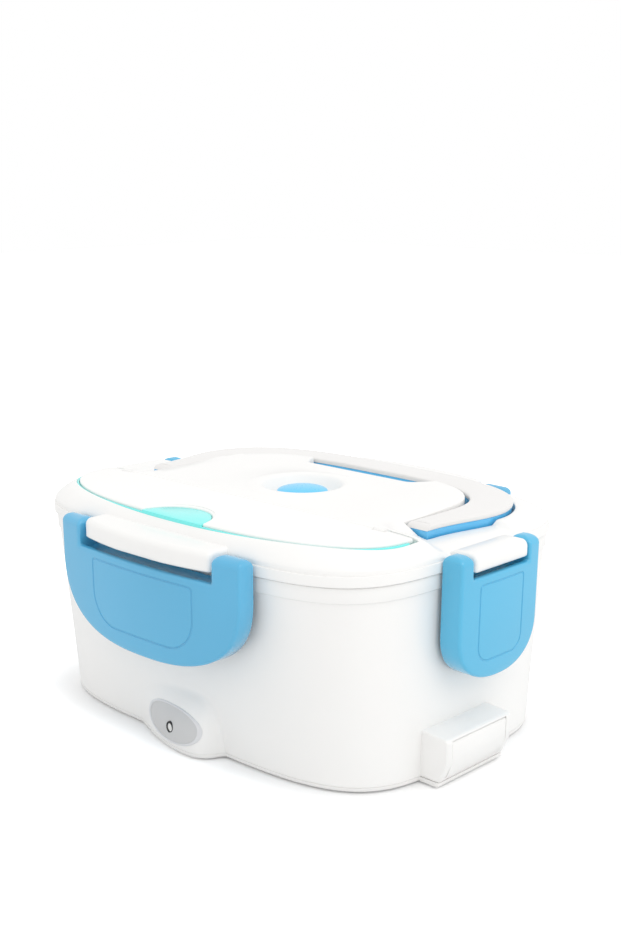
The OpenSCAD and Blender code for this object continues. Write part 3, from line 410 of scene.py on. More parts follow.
RIM_HX, RIM_HY, RIM_Z = 107.3, 82.9, 92.3
BAND_H, BAND_STEP = 6.6, 0.7
FOOT_HX, FOOT_HY = 106.1, 73.7
FLOOR_GAP, SEAM_Z = 0.8, 3.0
WALL = 2.4
LEDGE_DROP, LEDGE_W = 3.4, 1.1
BULGE_W, BULGE_OUT, BULGE_H = 54.0, 11.2, 28.0
BULGE_PEAK, BULGE_LEFT, BULGE_RIGHT = 11.0, 40.0, 15.5
BULGE_STEP = 0.7
INLET_Y, INLET_W, INLET_OUT, INLET_LEAN, INLET_TOP = -10.5, 45.0, 119.4, 4.1, 23.5
LEAN_Z = 12.0
FLAP_W, FLAP_T, FLAP_LOW = 37.8, 1.8, 5.2
FLAP_PIN = (INLET_OUT - FLAP_T, INLET_TOP - 3.2)
FLAP_BARREL = 1.7
SOCKET_FACE = INLET_OUT - INLET_LEAN - 1.9
SOCKET_W, SOCKET_H, SOCKET_Z = 27.0, 15.6, 4.9
INLET_NEAR, INLET_BACK = INLET_Y - INLET_W / 2, INLET_Y + INLET_W / 2
INLET_ROOT = 98
BADGE_X, BADGE_W, BADGE_H, BADGE_Z = 2.0, 40.0, 16.6, 12.8
LAMP_X, LAMP_Z, LAMP_R, LENS_R = 3.0, 11.2, 2.3, 2.3 - 0.85
FOOT_X, FOOT_Y, FOOT_R = 72, 44, 6
SCREW_X, SCREW_Y, SCREW_R = 86, 50, 3.2
CORNERS = [(sx, sy) for sx in (-1, 1) for sy in (-1, 1)]


def wall_half(z, inset=0.0):
    """Half length and half depth of the tapered wall at a height."""
    share = z / (RIM_Z - BAND_H)
    return (
        FOOT_HX + (RIM_HX - BAND_STEP - FOOT_HX) * share - inset,
        FOOT_HY + (RIM_HY - BAND_STEP - FOOT_HY) * share - inset,
    )


def bulge_sharp(x, z):
    """How far the lamp bulge stands out of the wall, before its edges are softened."""
    rise = max(z, 0.0) / BULGE_H
    if rise >= 1:
        return 0.0
    off = (x - BULGE_PEAK) / (1 - rise ** 3.2) ** 0.4
    across = off / BULGE_RIGHT if off > 0 else -off / BULGE_LEFT
    if across >= 1:
        return 0.0
    slope = (1 - across ** 3.2) ** 0.65 if off > 0 else (1 - across ** 1.8) ** 1.15
    return BULGE_OUT * (1 - rise ** 2.4) * slope


def bulge(x, z, blur=1.1):
    """How far the lamp bulge stands out of the wall."""
    spots = [(i * blur, k * blur) for i in (-1, -0.5, 0, 0.5, 1) for k in (-1, -0.5, 0, 0.5, 1)]
    return sum(bulge_sharp(x + dx, z + dz) for dx, dz in spots) / len(spots)


def bulged(outline, z):
    """An outline at a height, with the lamp bulge on its front."""
    return [(x, y - (bulge(x, z) if y < 0 and abs(x) < BULGE_W else 0.0), z) for x, y in outline]


def base_ring(z, inset=0.0, half=None):
    """The box's outline at a height; the inner wall has no bulge."""
    outline = oval(*(half or wall_half(z, inset)))
    return bulged(outline, z) if z < BULGE_H + 3 and inset < 1 else lifted(outline, z)


def bar_y(name, profile, front, back, finish=None):
    """A bar along Y with its side view drawn in X and Z."""
    return as_piece(name, skin([[(x, y, z) for x, z in profile] for y in (front, back)]), finish)


def inlet_profile():
    return [
        (INLET_ROOT, SEAM_Z), (INLET_OUT - INLET_LEAN, SEAM_Z), (INLET_OUT, LEAN_Z), (INLET_OUT, INLET_TOP - 1.2),
        (INLET_OUT - 1.2, INLET_TOP), (100, INLET_TOP + 1.4),
    ]


def base_shell(finish):
    """Open shell with a rim band, a ledge for the lid, the lamp bulge and the inlet block."""
    heights = [SEAM_Z + 1.0 + BULGE_STEP * i for i in range(40)] + [36, 48, 60, 72, 82]
    band = RIM_Z - BAND_H
    outside = [base_ring(SEAM_Z + dz, inset) for dz, inset in ((0.03, 0.22), (0.1, 0.08), (0.25, 0.0))]
    outside += [base_ring(z) for z in heights]
    for dz, out in ((-0.5, 0.0), (-0.25, 0.05), (-0.05, 0.3), (0.0, 0.45), (0.15, 0.62), (0.4, BAND_STEP)):
        hx, hy = wall_half(band)
        outside.append(base_ring(band + dz, half=(hx + out, hy + out)))
    for dz, inset in ((-0.8, 0.0), (-0.35, 0.08), (-0.1, 0.3), (0.0, 0.6)):
        outside.append(base_ring(RIM_Z + dz, half=(RIM_HX - inset, RIM_HY - inset)))
    inside = [base_ring(RIM_Z, half=(RIM_HX - WALL, RIM_HY - WALL))]
    ledge = RIM_Z - LEDGE_DROP
    inside += [base_ring(ledge, half=(RIM_HX - WALL - w, RIM_HY - WALL - w)) for w in (0.0, LEDGE_W)]
    inside += [base_ring(band - 3, WALL), base_ring(SEAM_Z + 0.12, WALL)]
    shell = as_piece("base_shell", skin(outside + inside, closed=True), finish)
    inlet = rounded(bar_y("inlet_block", inlet_profile(), INLET_NEAR, INLET_BACK), 0.9, 3)
    pin_x, pin_z = FLAP_PIN
    sill, roof, beyond = FLAP_LOW - 0.25, pin_z + FLAP_T + 0.3, INLET_OUT + 3
    room = [
        (SOCKET_FACE, sill), (beyond, sill), (beyond, roof), (pin_x - 0.8, roof), (pin_x - 2.2, pin_z + 1),
        (SOCKET_FACE, pin_z - 3),
    ]
    half = FLAP_W / 2 + 0.2
    carve(inlet, bar_y("flap_room", room, INLET_Y - half, INLET_Y + half))
    carve(shell, inlet, operation="UNION")
    half = SOCKET_W / 2 + 0.1
    carve(shell, block(
        "socket_room", (90, INLET_Y - half, SOCKET_Z - 0.1),
        (INLET_OUT + 4, INLET_Y + half, SOCKET_Z + SOCKET_H + 0.1),
    ))
    return shell


def bottom_cover(finish):
    """Plate under the base, with cooling slots and seats for the feet and screws."""
    rings = []
    for z, inset in ((FLOOR_GAP, 2.2), (FLOOR_GAP, 1.2), (FLOOR_GAP + 0.25, 0.55), (FLOOR_GAP + 0.7, 0.15),
                     (FLOOR_GAP + 1.2, 0.0), (SEAM_Z - 0.2, 0.0), (SEAM_Z - 0.06, 0.08), (SEAM_Z, 0.22)):
        rings.append(bulged(oval(*wall_half(z, inset)), z))
    cover = as_piece("bottom_cover_skin", skin(rings), finish)
    toe, top = INLET_OUT - INLET_LEAN, SEAM_Z - 0.2
    step = [(INLET_ROOT, FLOOR_GAP), (toe - 0.6, FLOOR_GAP), (toe, FLOOR_GAP + 0.7), (toe, top), (INLET_ROOT, top)]
    carve(cover, rounded(bar_y("inlet_foot", step, INLET_NEAR, INLET_BACK), 0.3), operation="UNION")
    for x in range(-24, 25, 8):
        for y in (-30, 30):
            carve(cover, block("cooling_slot", (x - 1.5, y - 10, -1), (x + 1.5, y + 10, 5)))
    for sx, sy in CORNERS:
        foot, screw = (sx * FOOT_X, sy * FOOT_Y), (sx * SCREW_X, sy * SCREW_Y)
        carve(cover, rod("foot_seat", (*foot, -1), (*foot, 2.02), FOOT_R + 0.3))
        carve(cover, rod("screw_seat", (*screw, -1), (*screw, 2.25), SCREW_R))
    return cover


def inlet_flap(finish):
    """Cover of the inlet: a flap that hangs from a barrel at its upper edge."""
    lean_at = INLET_OUT - INLET_LEAN * (LEAN_Z - FLAP_LOW) / (LEAN_Z - FLOOR_GAP)
    top = FLAP_PIN[1]
    profile = [
        (INLET_OUT, LEAN_Z), (INLET_OUT, top + 0.6), (INLET_OUT - 0.5, top + 1.4),
        *arc(FLAP_PIN, FLAP_BARREL, 80, 180, 8), (INLET_OUT - FLAP_T, LEAN_Z),
        (lean_at - FLAP_T, FLAP_LOW), (lean_at, FLAP_LOW),
    ]
    flap = bar_y("inlet_flap_skin", profile, INLET_Y - FLAP_W / 2, INLET_Y + FLAP_W / 2, finish)
    return rounded(flap, 0.25)


def front_face(x, z, proud=0.0):
    """Point of the base's front wall, bulge included."""
    hx, hy = wall_half(z)
    y = -hy * (1 - min(1, abs(x) / hx) ** OUTLINE_EXP) ** (1 / OUTLINE_EXP)
    return (x, y - bulge(x, z) - proud, z)


def badge(rim_finish, field_finish):
    """Oval plate that follows the bulge: a raised pale rim round a grey field."""
    turns = [2 * math.pi * i / 144 for i in range(144)]

    def ring(share, proud):
        shape = oval(BADGE_W / 2 * share, BADGE_H / 2 * share, 2.3, turns)
        return [front_face(BADGE_X + x, BADGE_Z + z, proud) for x, z in shape]

    rim = as_piece("badge_rim", skin([
        ring(1.0, -0.4), ring(1.0, 0.25), ring(0.985, 0.5), ring(0.96, 0.6), ring(0.925, 0.5), ring(0.905, 0.3),
        ring(0.9, -0.4),
    ], closed=True), rim_finish)
    shares = [0.9, 0.8, 0.7, 0.6, 0.5, 0.4, 0.3, 0.2, 0.1, 0.02]
    field = as_piece("badge_field", skin([ring(0.9, -0.4)] + [ring(s, 0.2) for s in shares]), field_finish)
    face = front_face(LAMP_X, LAMP_Z)[1]
    carve(field, rod("lamp_hole", (LAMP_X, face - 5, LAMP_Z), (LAMP_X, face + 5, LAMP_Z), LAMP_R + 0.1))
    return rim, field


def lamp(ring_finish, lens_finish):
    """Ring lamp: a dark collar round a pale domed lens."""
    front = front_face(LAMP_X, LAMP_Z, 0.2)[1]
    turns = [2 * math.pi * i / 48 for i in range(48)]
    stretch = 1.25

    def round_y(radius, out):
        return [(LAMP_X + radius * math.cos(a), front - out, LAMP_Z + stretch * radius * math.sin(a)) for a in turns]

    collar = as_piece("lamp_collar", skin([
        round_y(LAMP_R, -2.0), round_y(LAMP_R, 0.1), round_y(LAMP_R - 0.15, 0.3), round_y(LAMP_R - 0.6, 0.3),
        round_y(LAMP_R - 0.8, 0.1), round_y(LENS_R, -2.0),
    ], closed=True), ring_finish)
    rises = [math.pi / 2 * i / 6 for i in range(6)]
    dome = [round_y(LENS_R * math.cos(a), 0.15 * math.sin(a) - 0.05) for a in rises]
    lens = as_piece("lamp_lens", skin([round_y(LENS_R, -2.0), *dome, round_y(AXIS_R, 0.1)]), lens_finish)
    return collar, lens


def rubber_feet(finish):
    profile = [(AXIS_R, 0.05), (4.8, 0.0), (5.6, 0.15), (FOOT_R, 0.6), (FOOT_R, 2.0), (AXIS_R, 2.0)]
    feet = [turned("foot", profile, (sx * FOOT_X, sy * FOOT_Y), finish) for sx, sy in CORNERS]
    return joined("rubber_feet_skin", *feet)


# ---- Lid: shell with its bars and pockets ----

LID_HX, LID_HY, LID_Z, SKIRT_Z, DOME_H = 108.3, 84.0, 92.6, 97.4, 9.8
TOP_Z = SKIRT_Z + DOME_H
DOME = (
    (0.0, 1.0), (0.4, 1.0), (0.8, 0.969), (0.88, 0.918), (0.92, 0.816), (0.945, 0.673), (0.97, 0.47),
    (0.99, 0.245), (1.0, 0.0),
)
INNER_Z = 95.35
PIN_Z, PIN_OUT = 96.6, 4.6
WIDE_PIN, SLIM_PIN = LID_HY + PIN_OUT, LID_HX + PIN_OUT
BAR_LOW = -3.7
SPOON_A, SPOON_B, SPOON_EXP, HINGE_Y = 98.0, 42.9, 2.6, -33.6
SPOON_TOP, COVER_EDGE_Y = TOP_Z - 0.6, HINGE_Y - 0.2
COVER_TURNS = even_turns(SPOON_A, SPOON_B, SPOON_EXP, 160, 180, 360)
HINGE_Z, BARREL_R, LUG_X, LUG_W = SPOON_TOP - 0.9, 2.2, 78.0, 6.0
POCKET_BACK = -31.0
TAB_Y, TAB_R = -79.9, 19.4
VENT_Y, DISH_R, DISH_FLOOR = 4.7, 25.7, TOP_Z - 4.4
HANDLE_LEN, HANDLE_GAP, HANDLE_BACK, HANDLE_INNER, HANDLE_CY = 191.0, 154.0, 75.0, 58.0, 10.0
HANDLE_EXP, PIVOT_Y, PIVOT_Z, PIVOT_END = 3.2, -8.0, 101.6, 4.4
CORE_Z, SEAM_H, HANDLE_TOP = 97.2, 103.6, 106.0
SHOULDER_LOW, SHOULDER_HIGH = 100.5, 102.7
POCKET_FLOOR, CHANNEL_FLOOR, ABOVE_LID = 96.9, 96.8, 120
WIDE_BAR, SLIM_BAR, BORE_R, PIN_R = 41.0, 18.3, 1.65, 1.6


def eased(low, high, value):
    """0 below low, 1 above high, and smooth between."""
    t = min(1.0, max(0.0, (value - low) / (high - low)))
    return t * t * (3 - 2 * t)


def through(points, x):
    """Height at x of a smooth curve through points, with no overshoot between them."""
    slopes = [(b[1] - a[1]) / (b[0] - a[0]) for a, b in zip(points, points[1:])]
    tangents = [slopes[0]] + [
        2 * a * b / (a + b) if a * b > 0 else 0.0 for a, b in zip(slopes, slopes[1:])
    ] + [slopes[-1]]
    for i, (a, b) in enumerate(zip(points, points[1:])):
        if x <= b[0] or i == len(slopes) - 1:
            span = b[0] - a[0]
            t = min(1.0, max(0.0, (x - a[0]) / span))
            return (
                (2 * t ** 3 - 3 * t ** 2 + 1) * a[1] + (t ** 3 - 2 * t ** 2 + t) * span * tangents[i]
                + (3 * t ** 2 - 2 * t ** 3) * b[1] + (t ** 3 - t ** 2) * span * tangents[i + 1]
            )


def lid_top(x, y):
    """Height of the lid: its crown, and the lower shoulder outside the handle, lowest beside the pivots."""
    share = ((abs(x) / LID_HX) ** OUTLINE_EXP + (abs(y) / LID_HY) ** OUTLINE_EXP) ** (1 / OUTLINE_EXP)
    crown = SKIRT_Z + DOME_H * through(DOME, min(share, 1.0))
    edge = SHOULDER_LOW + (SHOULDER_HIGH - SHOULDER_LOW) * eased(26, 29, y)
    fall = min(1.0, max(0.0, (share - 0.86) / 0.14))
    low = SKIRT_Z + (edge - SKIRT_Z) * (1 - fall ** 2.2) ** 0.8
    round_handle = ((abs(x) / (HANDLE_LEN / 2 * tapered(y))) ** HANDLE_EXP
                    + (max(0.0, y - HANDLE_CY) / (HANDLE_BACK - HANDLE_CY)) ** HANDLE_EXP) ** (1 / HANDLE_EXP)
    outside = eased(0.82, 0.985, round_handle) * eased(-30, -18, y)
    return crown + (min(low, crown) - crown) * outside


def tapered(y):
    """The handle's arms draw in a little on their outer sides towards their ends."""
    return 1 - 0.07 * (1 - eased(-8, 38, y))


def half_oval(width, back, steps=70):
    """The spoon cover's outline, grown by a width; its straight side lies at the back."""
    half = SPOON_A + width
    bow = [(x, y + COVER_EDGE_Y) for x, y in oval(half, SPOON_B + width, SPOON_EXP, COVER_TURNS)]
    bow[0], bow[-1] = (-half, COVER_EDGE_Y), (half, COVER_EDGE_Y)
    return bow + [(half * (1 - 2 * i / steps), back) for i in range(steps + 1)]


def handle_outline(width, platform_exp=HANDLE_EXP):
    """The handle's outline, grown by a width: round the back bar outside, then back along the inside."""
    front = PIVOT_Y - PIVOT_END - width

    def hoop(half, back, exponent):
        """One arm forward of the bow, the bow and the other arm, counter-clockwise."""
        depth = back - HANDLE_CY
        bow = oval(half, depth, exponent, even_turns(half, depth, exponent, 90, 0, 180))
        bow[0], bow[-1] = (half, 0.0), (-half, 0.0)
        arm = [front + (HANDLE_CY - front) * i / 8 for i in range(8)]
        return [
            *((half, y) for y in arm), *((x, y + HANDLE_CY) for x, y in bow), *((-half, y) for y in reversed(arm)),
        ]

    outer = hoop(HANDLE_LEN / 2 + width, HANDLE_BACK + width, HANDLE_EXP)
    inner = hoop(HANDLE_GAP / 2 - width, HANDLE_INNER - width, platform_exp)
    return [(x * tapered(y), y) for x, y in outer] + inner[::-1]


def sunk(name, outline, floor, fillet):
    """Cutter for a pocket with upright walls whose upper edge is rounded, wherever the lid's surface runs."""
    rings = [lifted(outline, floor)]
    for turn in (0, 22.5, 45, 67.5, 90):
        a = math.radians(turn)
        edge = grown(outline, fillet * (1 - math.cos(a)))
        rings.append([(x, y, lid_top(x, y) - fillet * (1 - math.sin(a)) + 0.01) for x, y in edge])
    rings.append(lifted(grown(outline, fillet), TOP_Z + 10))
    return as_piece(name, skin(rings))


def placed(piece, turn_deg, pin):
    """Turns a piece made at its own pin, with out along -Y, to its side of the box."""
    turn = math.radians(turn_deg)
    for vertex in piece.data.vertices:
        x, y, z = vertex.co.x, vertex.co.y - pin * MM, vertex.co.z + PIN_Z * MM
        vertex.co = (x * math.cos(turn) - y * math.sin(turn), x * math.sin(turn) + y * math.cos(turn), z)
    return piece


def latch_bar(half, radius, bow, tail):
    """Bar that carries a latch: bowed in front, with rounded ends and bores for the pins."""
    end_r, edge_r = 2.0, 3
    ends = (0.0, 0.1, 0.35, 0.75, 1.3, end_r)
    between = [end_r + (2 * half - 2 * end_r) * i / 28 for i in range(1, 28)]
    turns = [math.radians(a) for a in (15, 30, 45, 60, 75, 90)]
    rings = []
    for place in (*ends, *between, *(2 * half - v for v in reversed(ends))):
        from_end = min(place, 2 * half - place, end_r)
        shy = end_r - math.sqrt(max(0.0, end_r ** 2 - (end_r - from_end) ** 2))
        x = place - half
        front = radius - x * x / (2 * bow) - shy
        low, high = BAR_LOW + shy * 0.4, radius * 0.55 - shy
        face = [(min(front, math.sqrt(radius ** 2 - u * u)), u) for u in
                (low + 0.6, low + 1.6, (low + high) / 2 - 0.8, high - edge_r)]
        tip = face[-1][0]
        edge = [(tip - edge_r * (1 - math.cos(a)), high - edge_r * (1 - math.sin(a))) for a in turns]
        section = [(-5.8, low), (face[0][0] - 0.6, low), *face, *edge, *tail(high)]
        rings.append([(x, -out, up) for out, up in section])
    bar = as_piece("latch_bar", skin(rings))
    for side in (-1, 1):
        carve(bar, rod("bore", (side * (half - 5.3), 0, 0), (side * (half + 2), 0, 0), BORE_R, count=24))
    return bar


def lid_crown(finish):
    """Domed shell with its skirt, closed underneath."""
    inner = (LID_HX - 2.2, LID_HY - 2.2)
    rings = [base_ring(INNER_Z, half=inner), base_ring(LID_Z, half=inner)]
    for z, inset in ((LID_Z, 0.5), (LID_Z + 0.12, 0.18), (LID_Z + 0.4, 0.0), (SKIRT_Z - 0.5, 0.0),
                     (SKIRT_Z - 0.2, 0.08), (SKIRT_Z, 0.35), (SKIRT_Z + 0.02, 0.62)):
        rings.append(base_ring(z, half=(LID_HX - inset, LID_HY - inset)))
    shares = [0.9938] + [0.99 - 0.005 * i for i in range(6)] + [0.96 - 0.01 * i for i in range(16)]
    shares += [0.78, 0.74, 0.68, 0.6, 0.5, 0.4, 0.2, 0.05]
    for share in shares:
        rings.append([(x, y, lid_top(x, y)) for x, y in oval(LID_HX * share, LID_HY * share)])
    return as_piece("lid_shell_skin", skin(rings), finish)


def wide_tail(high):
    return [(-8.5, high), (-8.5, 2.8), (-5.8, 2.8)]


def slim_tail(high):
    return [(-5.0, high), (-10.5, 1.2), (-5.8, -0.5)]


def vent_dish(shell):
    """Raised lip round a steep dish, with a hole for the vent's stem."""
    lip = [(0.0, -3), (DISH_R + 3, -3), (DISH_R + 3, -0.25), (DISH_R + 1.6, 0.1), (DISH_R, 0.35), (DISH_R - 1.5, 0.6),
           (DISH_R - 3, 0.76), (DISH_R - 4, 0.8), (0.0, 0.8)]
    dish = [(0.0, 0.0), (13, 0.0), (14, 0.15), (15, 0.6), (16, 1.4), (17.2, 2.6), (18.2, 3.6)]
    rim = [(19, 0.1), (19.9, 0.5), (20.8, 0.72), (21.8, 0.82), (21.8, 9), (0.0, 9)]
    raised = [(max(r, AXIS_R), TOP_Z + z) for r, z in lip]
    hollow = [(max(r, AXIS_R), DISH_FLOOR + z) for r, z in dish] + [(max(r, AXIS_R), TOP_Z + z) for r, z in rim]
    carve(shell, turned("dish_lip", raised, (0, VENT_Y), count=160), operation="UNION")
    carve(shell, turned("dish", hollow, (0, VENT_Y), count=160))
    carve(shell, rod("stem_hole", (0, VENT_Y, 90), (0, VENT_Y, TOP_Z), 4.1, count=48))


def hinge_lug(side):
    """Lug that carries one end of the spoon cover's hinge."""
    turns = [math.radians(50 + 20 * i) for i in range(12)]
    round_top = [(HINGE_Y + BARREL_R * math.cos(a), HINGE_Z + BARREL_R * math.sin(a)) for a in turns]
    profile = [(-30.0, 96.5), (-30.0, HINGE_Z + 1.2), *round_top, (-33.0, 96.5)]
    x = side * (LUG_X + 0.3 + LUG_W / 2)
    return as_piece("lug", skin([[(x + dx, y, z) for y, z in profile] for dx in (-LUG_W / 2, LUG_W / 2)]))


def lid_shell(finish):
    """The lid: crown, latch bars, vent dish, spoon pocket, handle channel and the seats of the hinges."""
    shell = lid_crown(finish)
    bars = [placed(latch_bar(WIDE_BAR, 9.1, 170, wide_tail), turn, WIDE_PIN) for turn in (0, 180)]
    bars += [placed(latch_bar(SLIM_BAR, 7.1, 400, slim_tail), turn, SLIM_PIN) for turn in (90, -90)]
    carve(shell, joined("bars", *bars), operation="UNION")
    vent_dish(shell)
    scoop = [(-33, 43.5), (33, 43.5), (43, 58), (-43, 58)]
    carve(shell, sunk("spoon_pocket", half_oval(1.4, POCKET_BACK), POCKET_FLOOR, 0.35))
    carve(shell, sunk("handle_channel", handle_outline(0.6, platform_exp=2.9), CHANNEL_FLOOR, 0.6))
    carve(shell, sunk("finger_scoop", smoothed(scoop, 6), CHANNEL_FLOOR, 1.2))
    bores = [rod("pivot_bore", (side * 71, PIVOT_Y, PIVOT_Z), (side * 78, PIVOT_Y, PIVOT_Z), 2.1, count=24)
             for side in (-1, 1)]
    carve(shell, joined("lugs", hinge_lug(-1), hinge_lug(1)), operation="UNION")
    carve(shell, joined("bores", *bores))
    return shell


def smoothed(outline, radius, count=8):
    """A closed outline, counter-clockwise, with its corners rounded by a radius, then resampled."""
    made = []
    for i, corner in enumerate(outline):
        here = Vector(corner)
        before = Vector(outline[i - 1]) - here
        after = Vector(outline[(i + 1) % len(outline)]) - here
        half = before.angle(after) / 2
        cut = min(radius / math.tan(half), before.length * 0.49, after.length * 0.49)
        a, b = here + before.normalized() * cut, here + after.normalized() * cut
        for k in range(count + 1):
            t = k / count
            spot = a * (1 - t) ** 2 + here * 2 * t * (1 - t) + b * t ** 2
            made.append((spot.x, spot.y))
    return resampled(made, 1.5)


# ---- Spoon compartment, vent and handle ----

def lug_room(side, near, far, gap):
    """Cutter that leaves room for a hinge lug, between two distances from the middle."""
    low, high = sorted((side * near, side * far))
    return block("lug_room", (low, HINGE_Y - BARREL_R - gap, 90), (high, 0, ABOVE_LID))


def spoon_cover(finish):
    """Half-oval cover with a softly crowned top, a finger notch, and its barrel and pins at the back."""
    rings = [
        lifted(half_oval(width, HINGE_Y + 0.3), SPOON_TOP + z) for width, z in (
            (-0.5, -2), (-0.12, -1.88), (0, -1.6), (0, -0.75), (-0.08, -0.4), (-0.3, -0.12), (-0.7, 0.03),
            (-1.5, 0.12), (-5, 0.32), (-10, 0.55), (-16, 0.75), (-26, 0.9))
    ]
    cover = as_piece("spoon_cover_skin", skin(rings), finish)
    notch = TAB_R + 0.3
    flare = [(notch + dr, SPOON_TOP + z) for dr, z in (
        (0.0, -0.4), (0.1, -0.05), (0.35, 0.22), (0.8, 0.42), (1.4, 0.55), (1.4, 6))]
    flare = [(AXIS_R, 90), (notch, 90), *flare, (AXIS_R, SPOON_TOP + 6)]
    carve(cover, turned("finger_notch", flare, (0, TAB_Y), count=200))
    for side in (-1, 1):
        carve(cover, lug_room(side, 78.1, 84.5, 0.2))
    barrel = rod("barrel", (-LUG_X, HINGE_Y, HINGE_Z), (LUG_X, HINGE_Y, HINGE_Z), BARREL_R, count=40)
    carve(cover, barrel, operation="UNION")
    start, stop = LUG_X - 1, LUG_X + 3.5
    pins = [rod("pin", (side * start, HINGE_Y, HINGE_Z), (side * stop, HINGE_Y, HINGE_Z), 1.2, count=24)
            for side in (-1, 1)]
    return joined("spoon_cover_skin", cover, *pins)


def spoon_tray(finish):
    """Tray let into the lid, whose rim shows round the cover, and its finger tab."""
    back = HINGE_Y + BARREL_R + 0.3
    rings = [
        lifted(half_oval(width, back - drop), z) for width, drop, z in (
            (0.8, 0.3, 96.9), (1.3, 0.0, 97.4), (1.3, 0.0, 105.3), (1.22, 0.0, 105.47), (1.0, 0.1, 105.6),
            (0.6, 0.9, 105.6), (0.38, 1.1, 105.47), (0.3, 1.2, 105.3), (0.3, 1.2, 104.3), (-1.0, 2.2, 104.3),
            (-1.0, 2.2, 98.5), (-1.4, 2.6, 98.1))
    ]
    tray = as_piece("spoon_tray_skin", skin(rings), finish)
    carve(tray, block("barrel_room", (-200, HINGE_Y - BARREL_R - 1, HINGE_Z - BARREL_R - 0.3), (200, 0, ABOVE_LID)))
    for side in (-1, 1):
        carve(tray, lug_room(side, 78, 84.6, 0.3))
    tab = rod("finger_tab", (0, TAB_Y, 98.0), (0, TAB_Y, SPOON_TOP - 0.2), TAB_R, count=160)
    carve(tab, prism("tab_edge", half_oval(1.1, back), 90, ABOVE_LID), operation="INTERSECT")
    return joined("spoon_tray_skin", tray, rounded(tab, 0.45, 3))


def spoon(finish):
    """Short spoon: a dished bowl and a stem that widens to its end."""
    y0, z0 = HINGE_Y - 19.4, 98.4
    bowl_x, half_len, half_w, depth, sheet = 52.0, 21.0, 13.0, 4.4, 0.9

    def bowl_ring(share, lift):
        z = z0 + depth * share ** 2.4 + lift
        turns = [2 * math.pi * i / 64 for i in range(64)]
        return [(bowl_x + half_len * share * math.cos(a),
                 y0 + half_w * share * math.sin(a) * (1 - 0.12 * math.cos(a)), z) for a in turns]

    shares = [0.05, 0.2, 0.4, 0.6, 0.75, 0.88, 0.96, 1.0]
    rings = [bowl_ring(s, 0) for s in shares] + [bowl_ring(0.99, 0.45)]
    rings += [bowl_ring(s * 0.955, sheet) for s in reversed(shares)]
    bowl = as_piece("spoon_bowl", skin(rings), finish)
    sections = []
    for x, half, rise in ((36, 3.6, -0.6), (32, 2.7, -0.1), (28, 2.4, 0.2), (0, 2.7, 0.3), (-30, 3.6, 0.3),
                          (-52, 5.0, 0.2), (-64, 6.0, 0.1), (-69, 5.6, 0.0), (-72, 3.8, 0.0), (-73, 1.6, 0.0)):
        section = [(half * math.cos(a), 0.9 * math.sin(a) + 0.25 * (math.cos(a) ** 2)) for a in
                   (2 * math.pi * i / 20 for i in range(20))]
        sections.append([(x, y0 + dy, z0 + depth - 0.2 + rise + dz) for dy, dz in section])
    stem = as_piece("spoon_stem", skin(sections), finish)
    carve(bowl, stem, operation="UNION")
    bowl.name = "spoon_skin"
    return bowl


def vent_knob(finish):
    """Domed knob on its stem, in the dish."""
    turns = [math.pi / 2 * i / 16 for i in range(16)]
    knob = [(AXIS_R, DISH_FLOOR + 0.5), (11.2, DISH_FLOOR + 0.5), (11.75, DISH_FLOOR + 0.65), (12, DISH_FLOOR + 1)]
    knob += [(12 * math.cos(a), DISH_FLOOR + 1.3 + 2.4 * math.sin(a)) for a in turns]
    knob.append((AXIS_R, DISH_FLOOR + 3.7))
    cap = turned("vent_knob", knob, (0, VENT_Y), finish, 128)
    stem = rod("stem", (0, VENT_Y, 97.3), (0, VENT_Y, DISH_FLOOR + 1.5), 3.8, count=48)
    carve(cap, stem, operation="UNION")
    return cap


def arm_ends(name, low, high):
    """Cutter that leaves the arms of the handle with ends rounded about their pivots."""
    far = 120
    reach = [p for p in arc((PIVOT_Y, PIVOT_Z), PIVOT_END, 90, 270, 18) if low < p[1] < high]
    profile = [(far, low), (far, high), (PIVOT_Y, high), *reach, (PIVOT_Y, low)]
    return as_piece(name, skin([[(x, y, z) for y, z in profile] for x in (-far, far)]))


def handle_core(finish):
    """Coloured lower layer of the handle, with its pivots."""
    rings = [lifted(handle_outline(width), z) for width, z in (
        (-1.3, CORE_Z), (-0.85, CORE_Z + 0.15), (-0.6, CORE_Z + 0.6), (-0.6, SEAM_H - 0.25), (-0.8, SEAM_H))]
    core = as_piece("handle_core_skin", skin(rings), finish)
    carve(core, arm_ends("core_ends", CORE_Z - 1, SEAM_H + 1), operation="INTERSECT")
    pins = [rod("pivot", (side * 72, PIVOT_Y, PIVOT_Z), (side * 80, PIVOT_Y, PIVOT_Z), 2.0, count=24)
            for side in (-1, 1)]
    return joined("handle_core_skin", core, *pins)


def handle_cover(finish):
    """Pale upper layer of the handle."""
    rings = [lifted(handle_outline(width), z) for width, z in (
        (-0.75, SEAM_H), (-0.35, SEAM_H + 0.12), (-0.2, SEAM_H + 0.4), (-0.2, HANDLE_TOP - 1.0),
        (-0.3, HANDLE_TOP - 0.6), (-0.6, HANDLE_TOP - 0.25), (-1.1, HANDLE_TOP - 0.06), (-1.8, HANDLE_TOP),
        (-3.2, HANDLE_TOP + 0.1), (-5.0, HANDLE_TOP + 0.16))]
    cover = as_piece("handle_cover_skin", skin(rings), finish)
    carve(cover, arm_ends("cover_ends", SEAM_H - 1, HANDLE_TOP + 1), operation="INTERSECT")
    return cover


# ---- Latches ----

EAR_R, HOOK_TIP, HOOK_Z = 4.2, 5.25, -10.9


def half_round(half, depth, exponent, shoulder):
    """Lower half of an oval that hangs from a height."""
    turns = even_turns(half, depth, exponent, 90, 180, 360)
    return [(x, shoulder + y) for x, y in oval(half, depth, exponent, turns)]


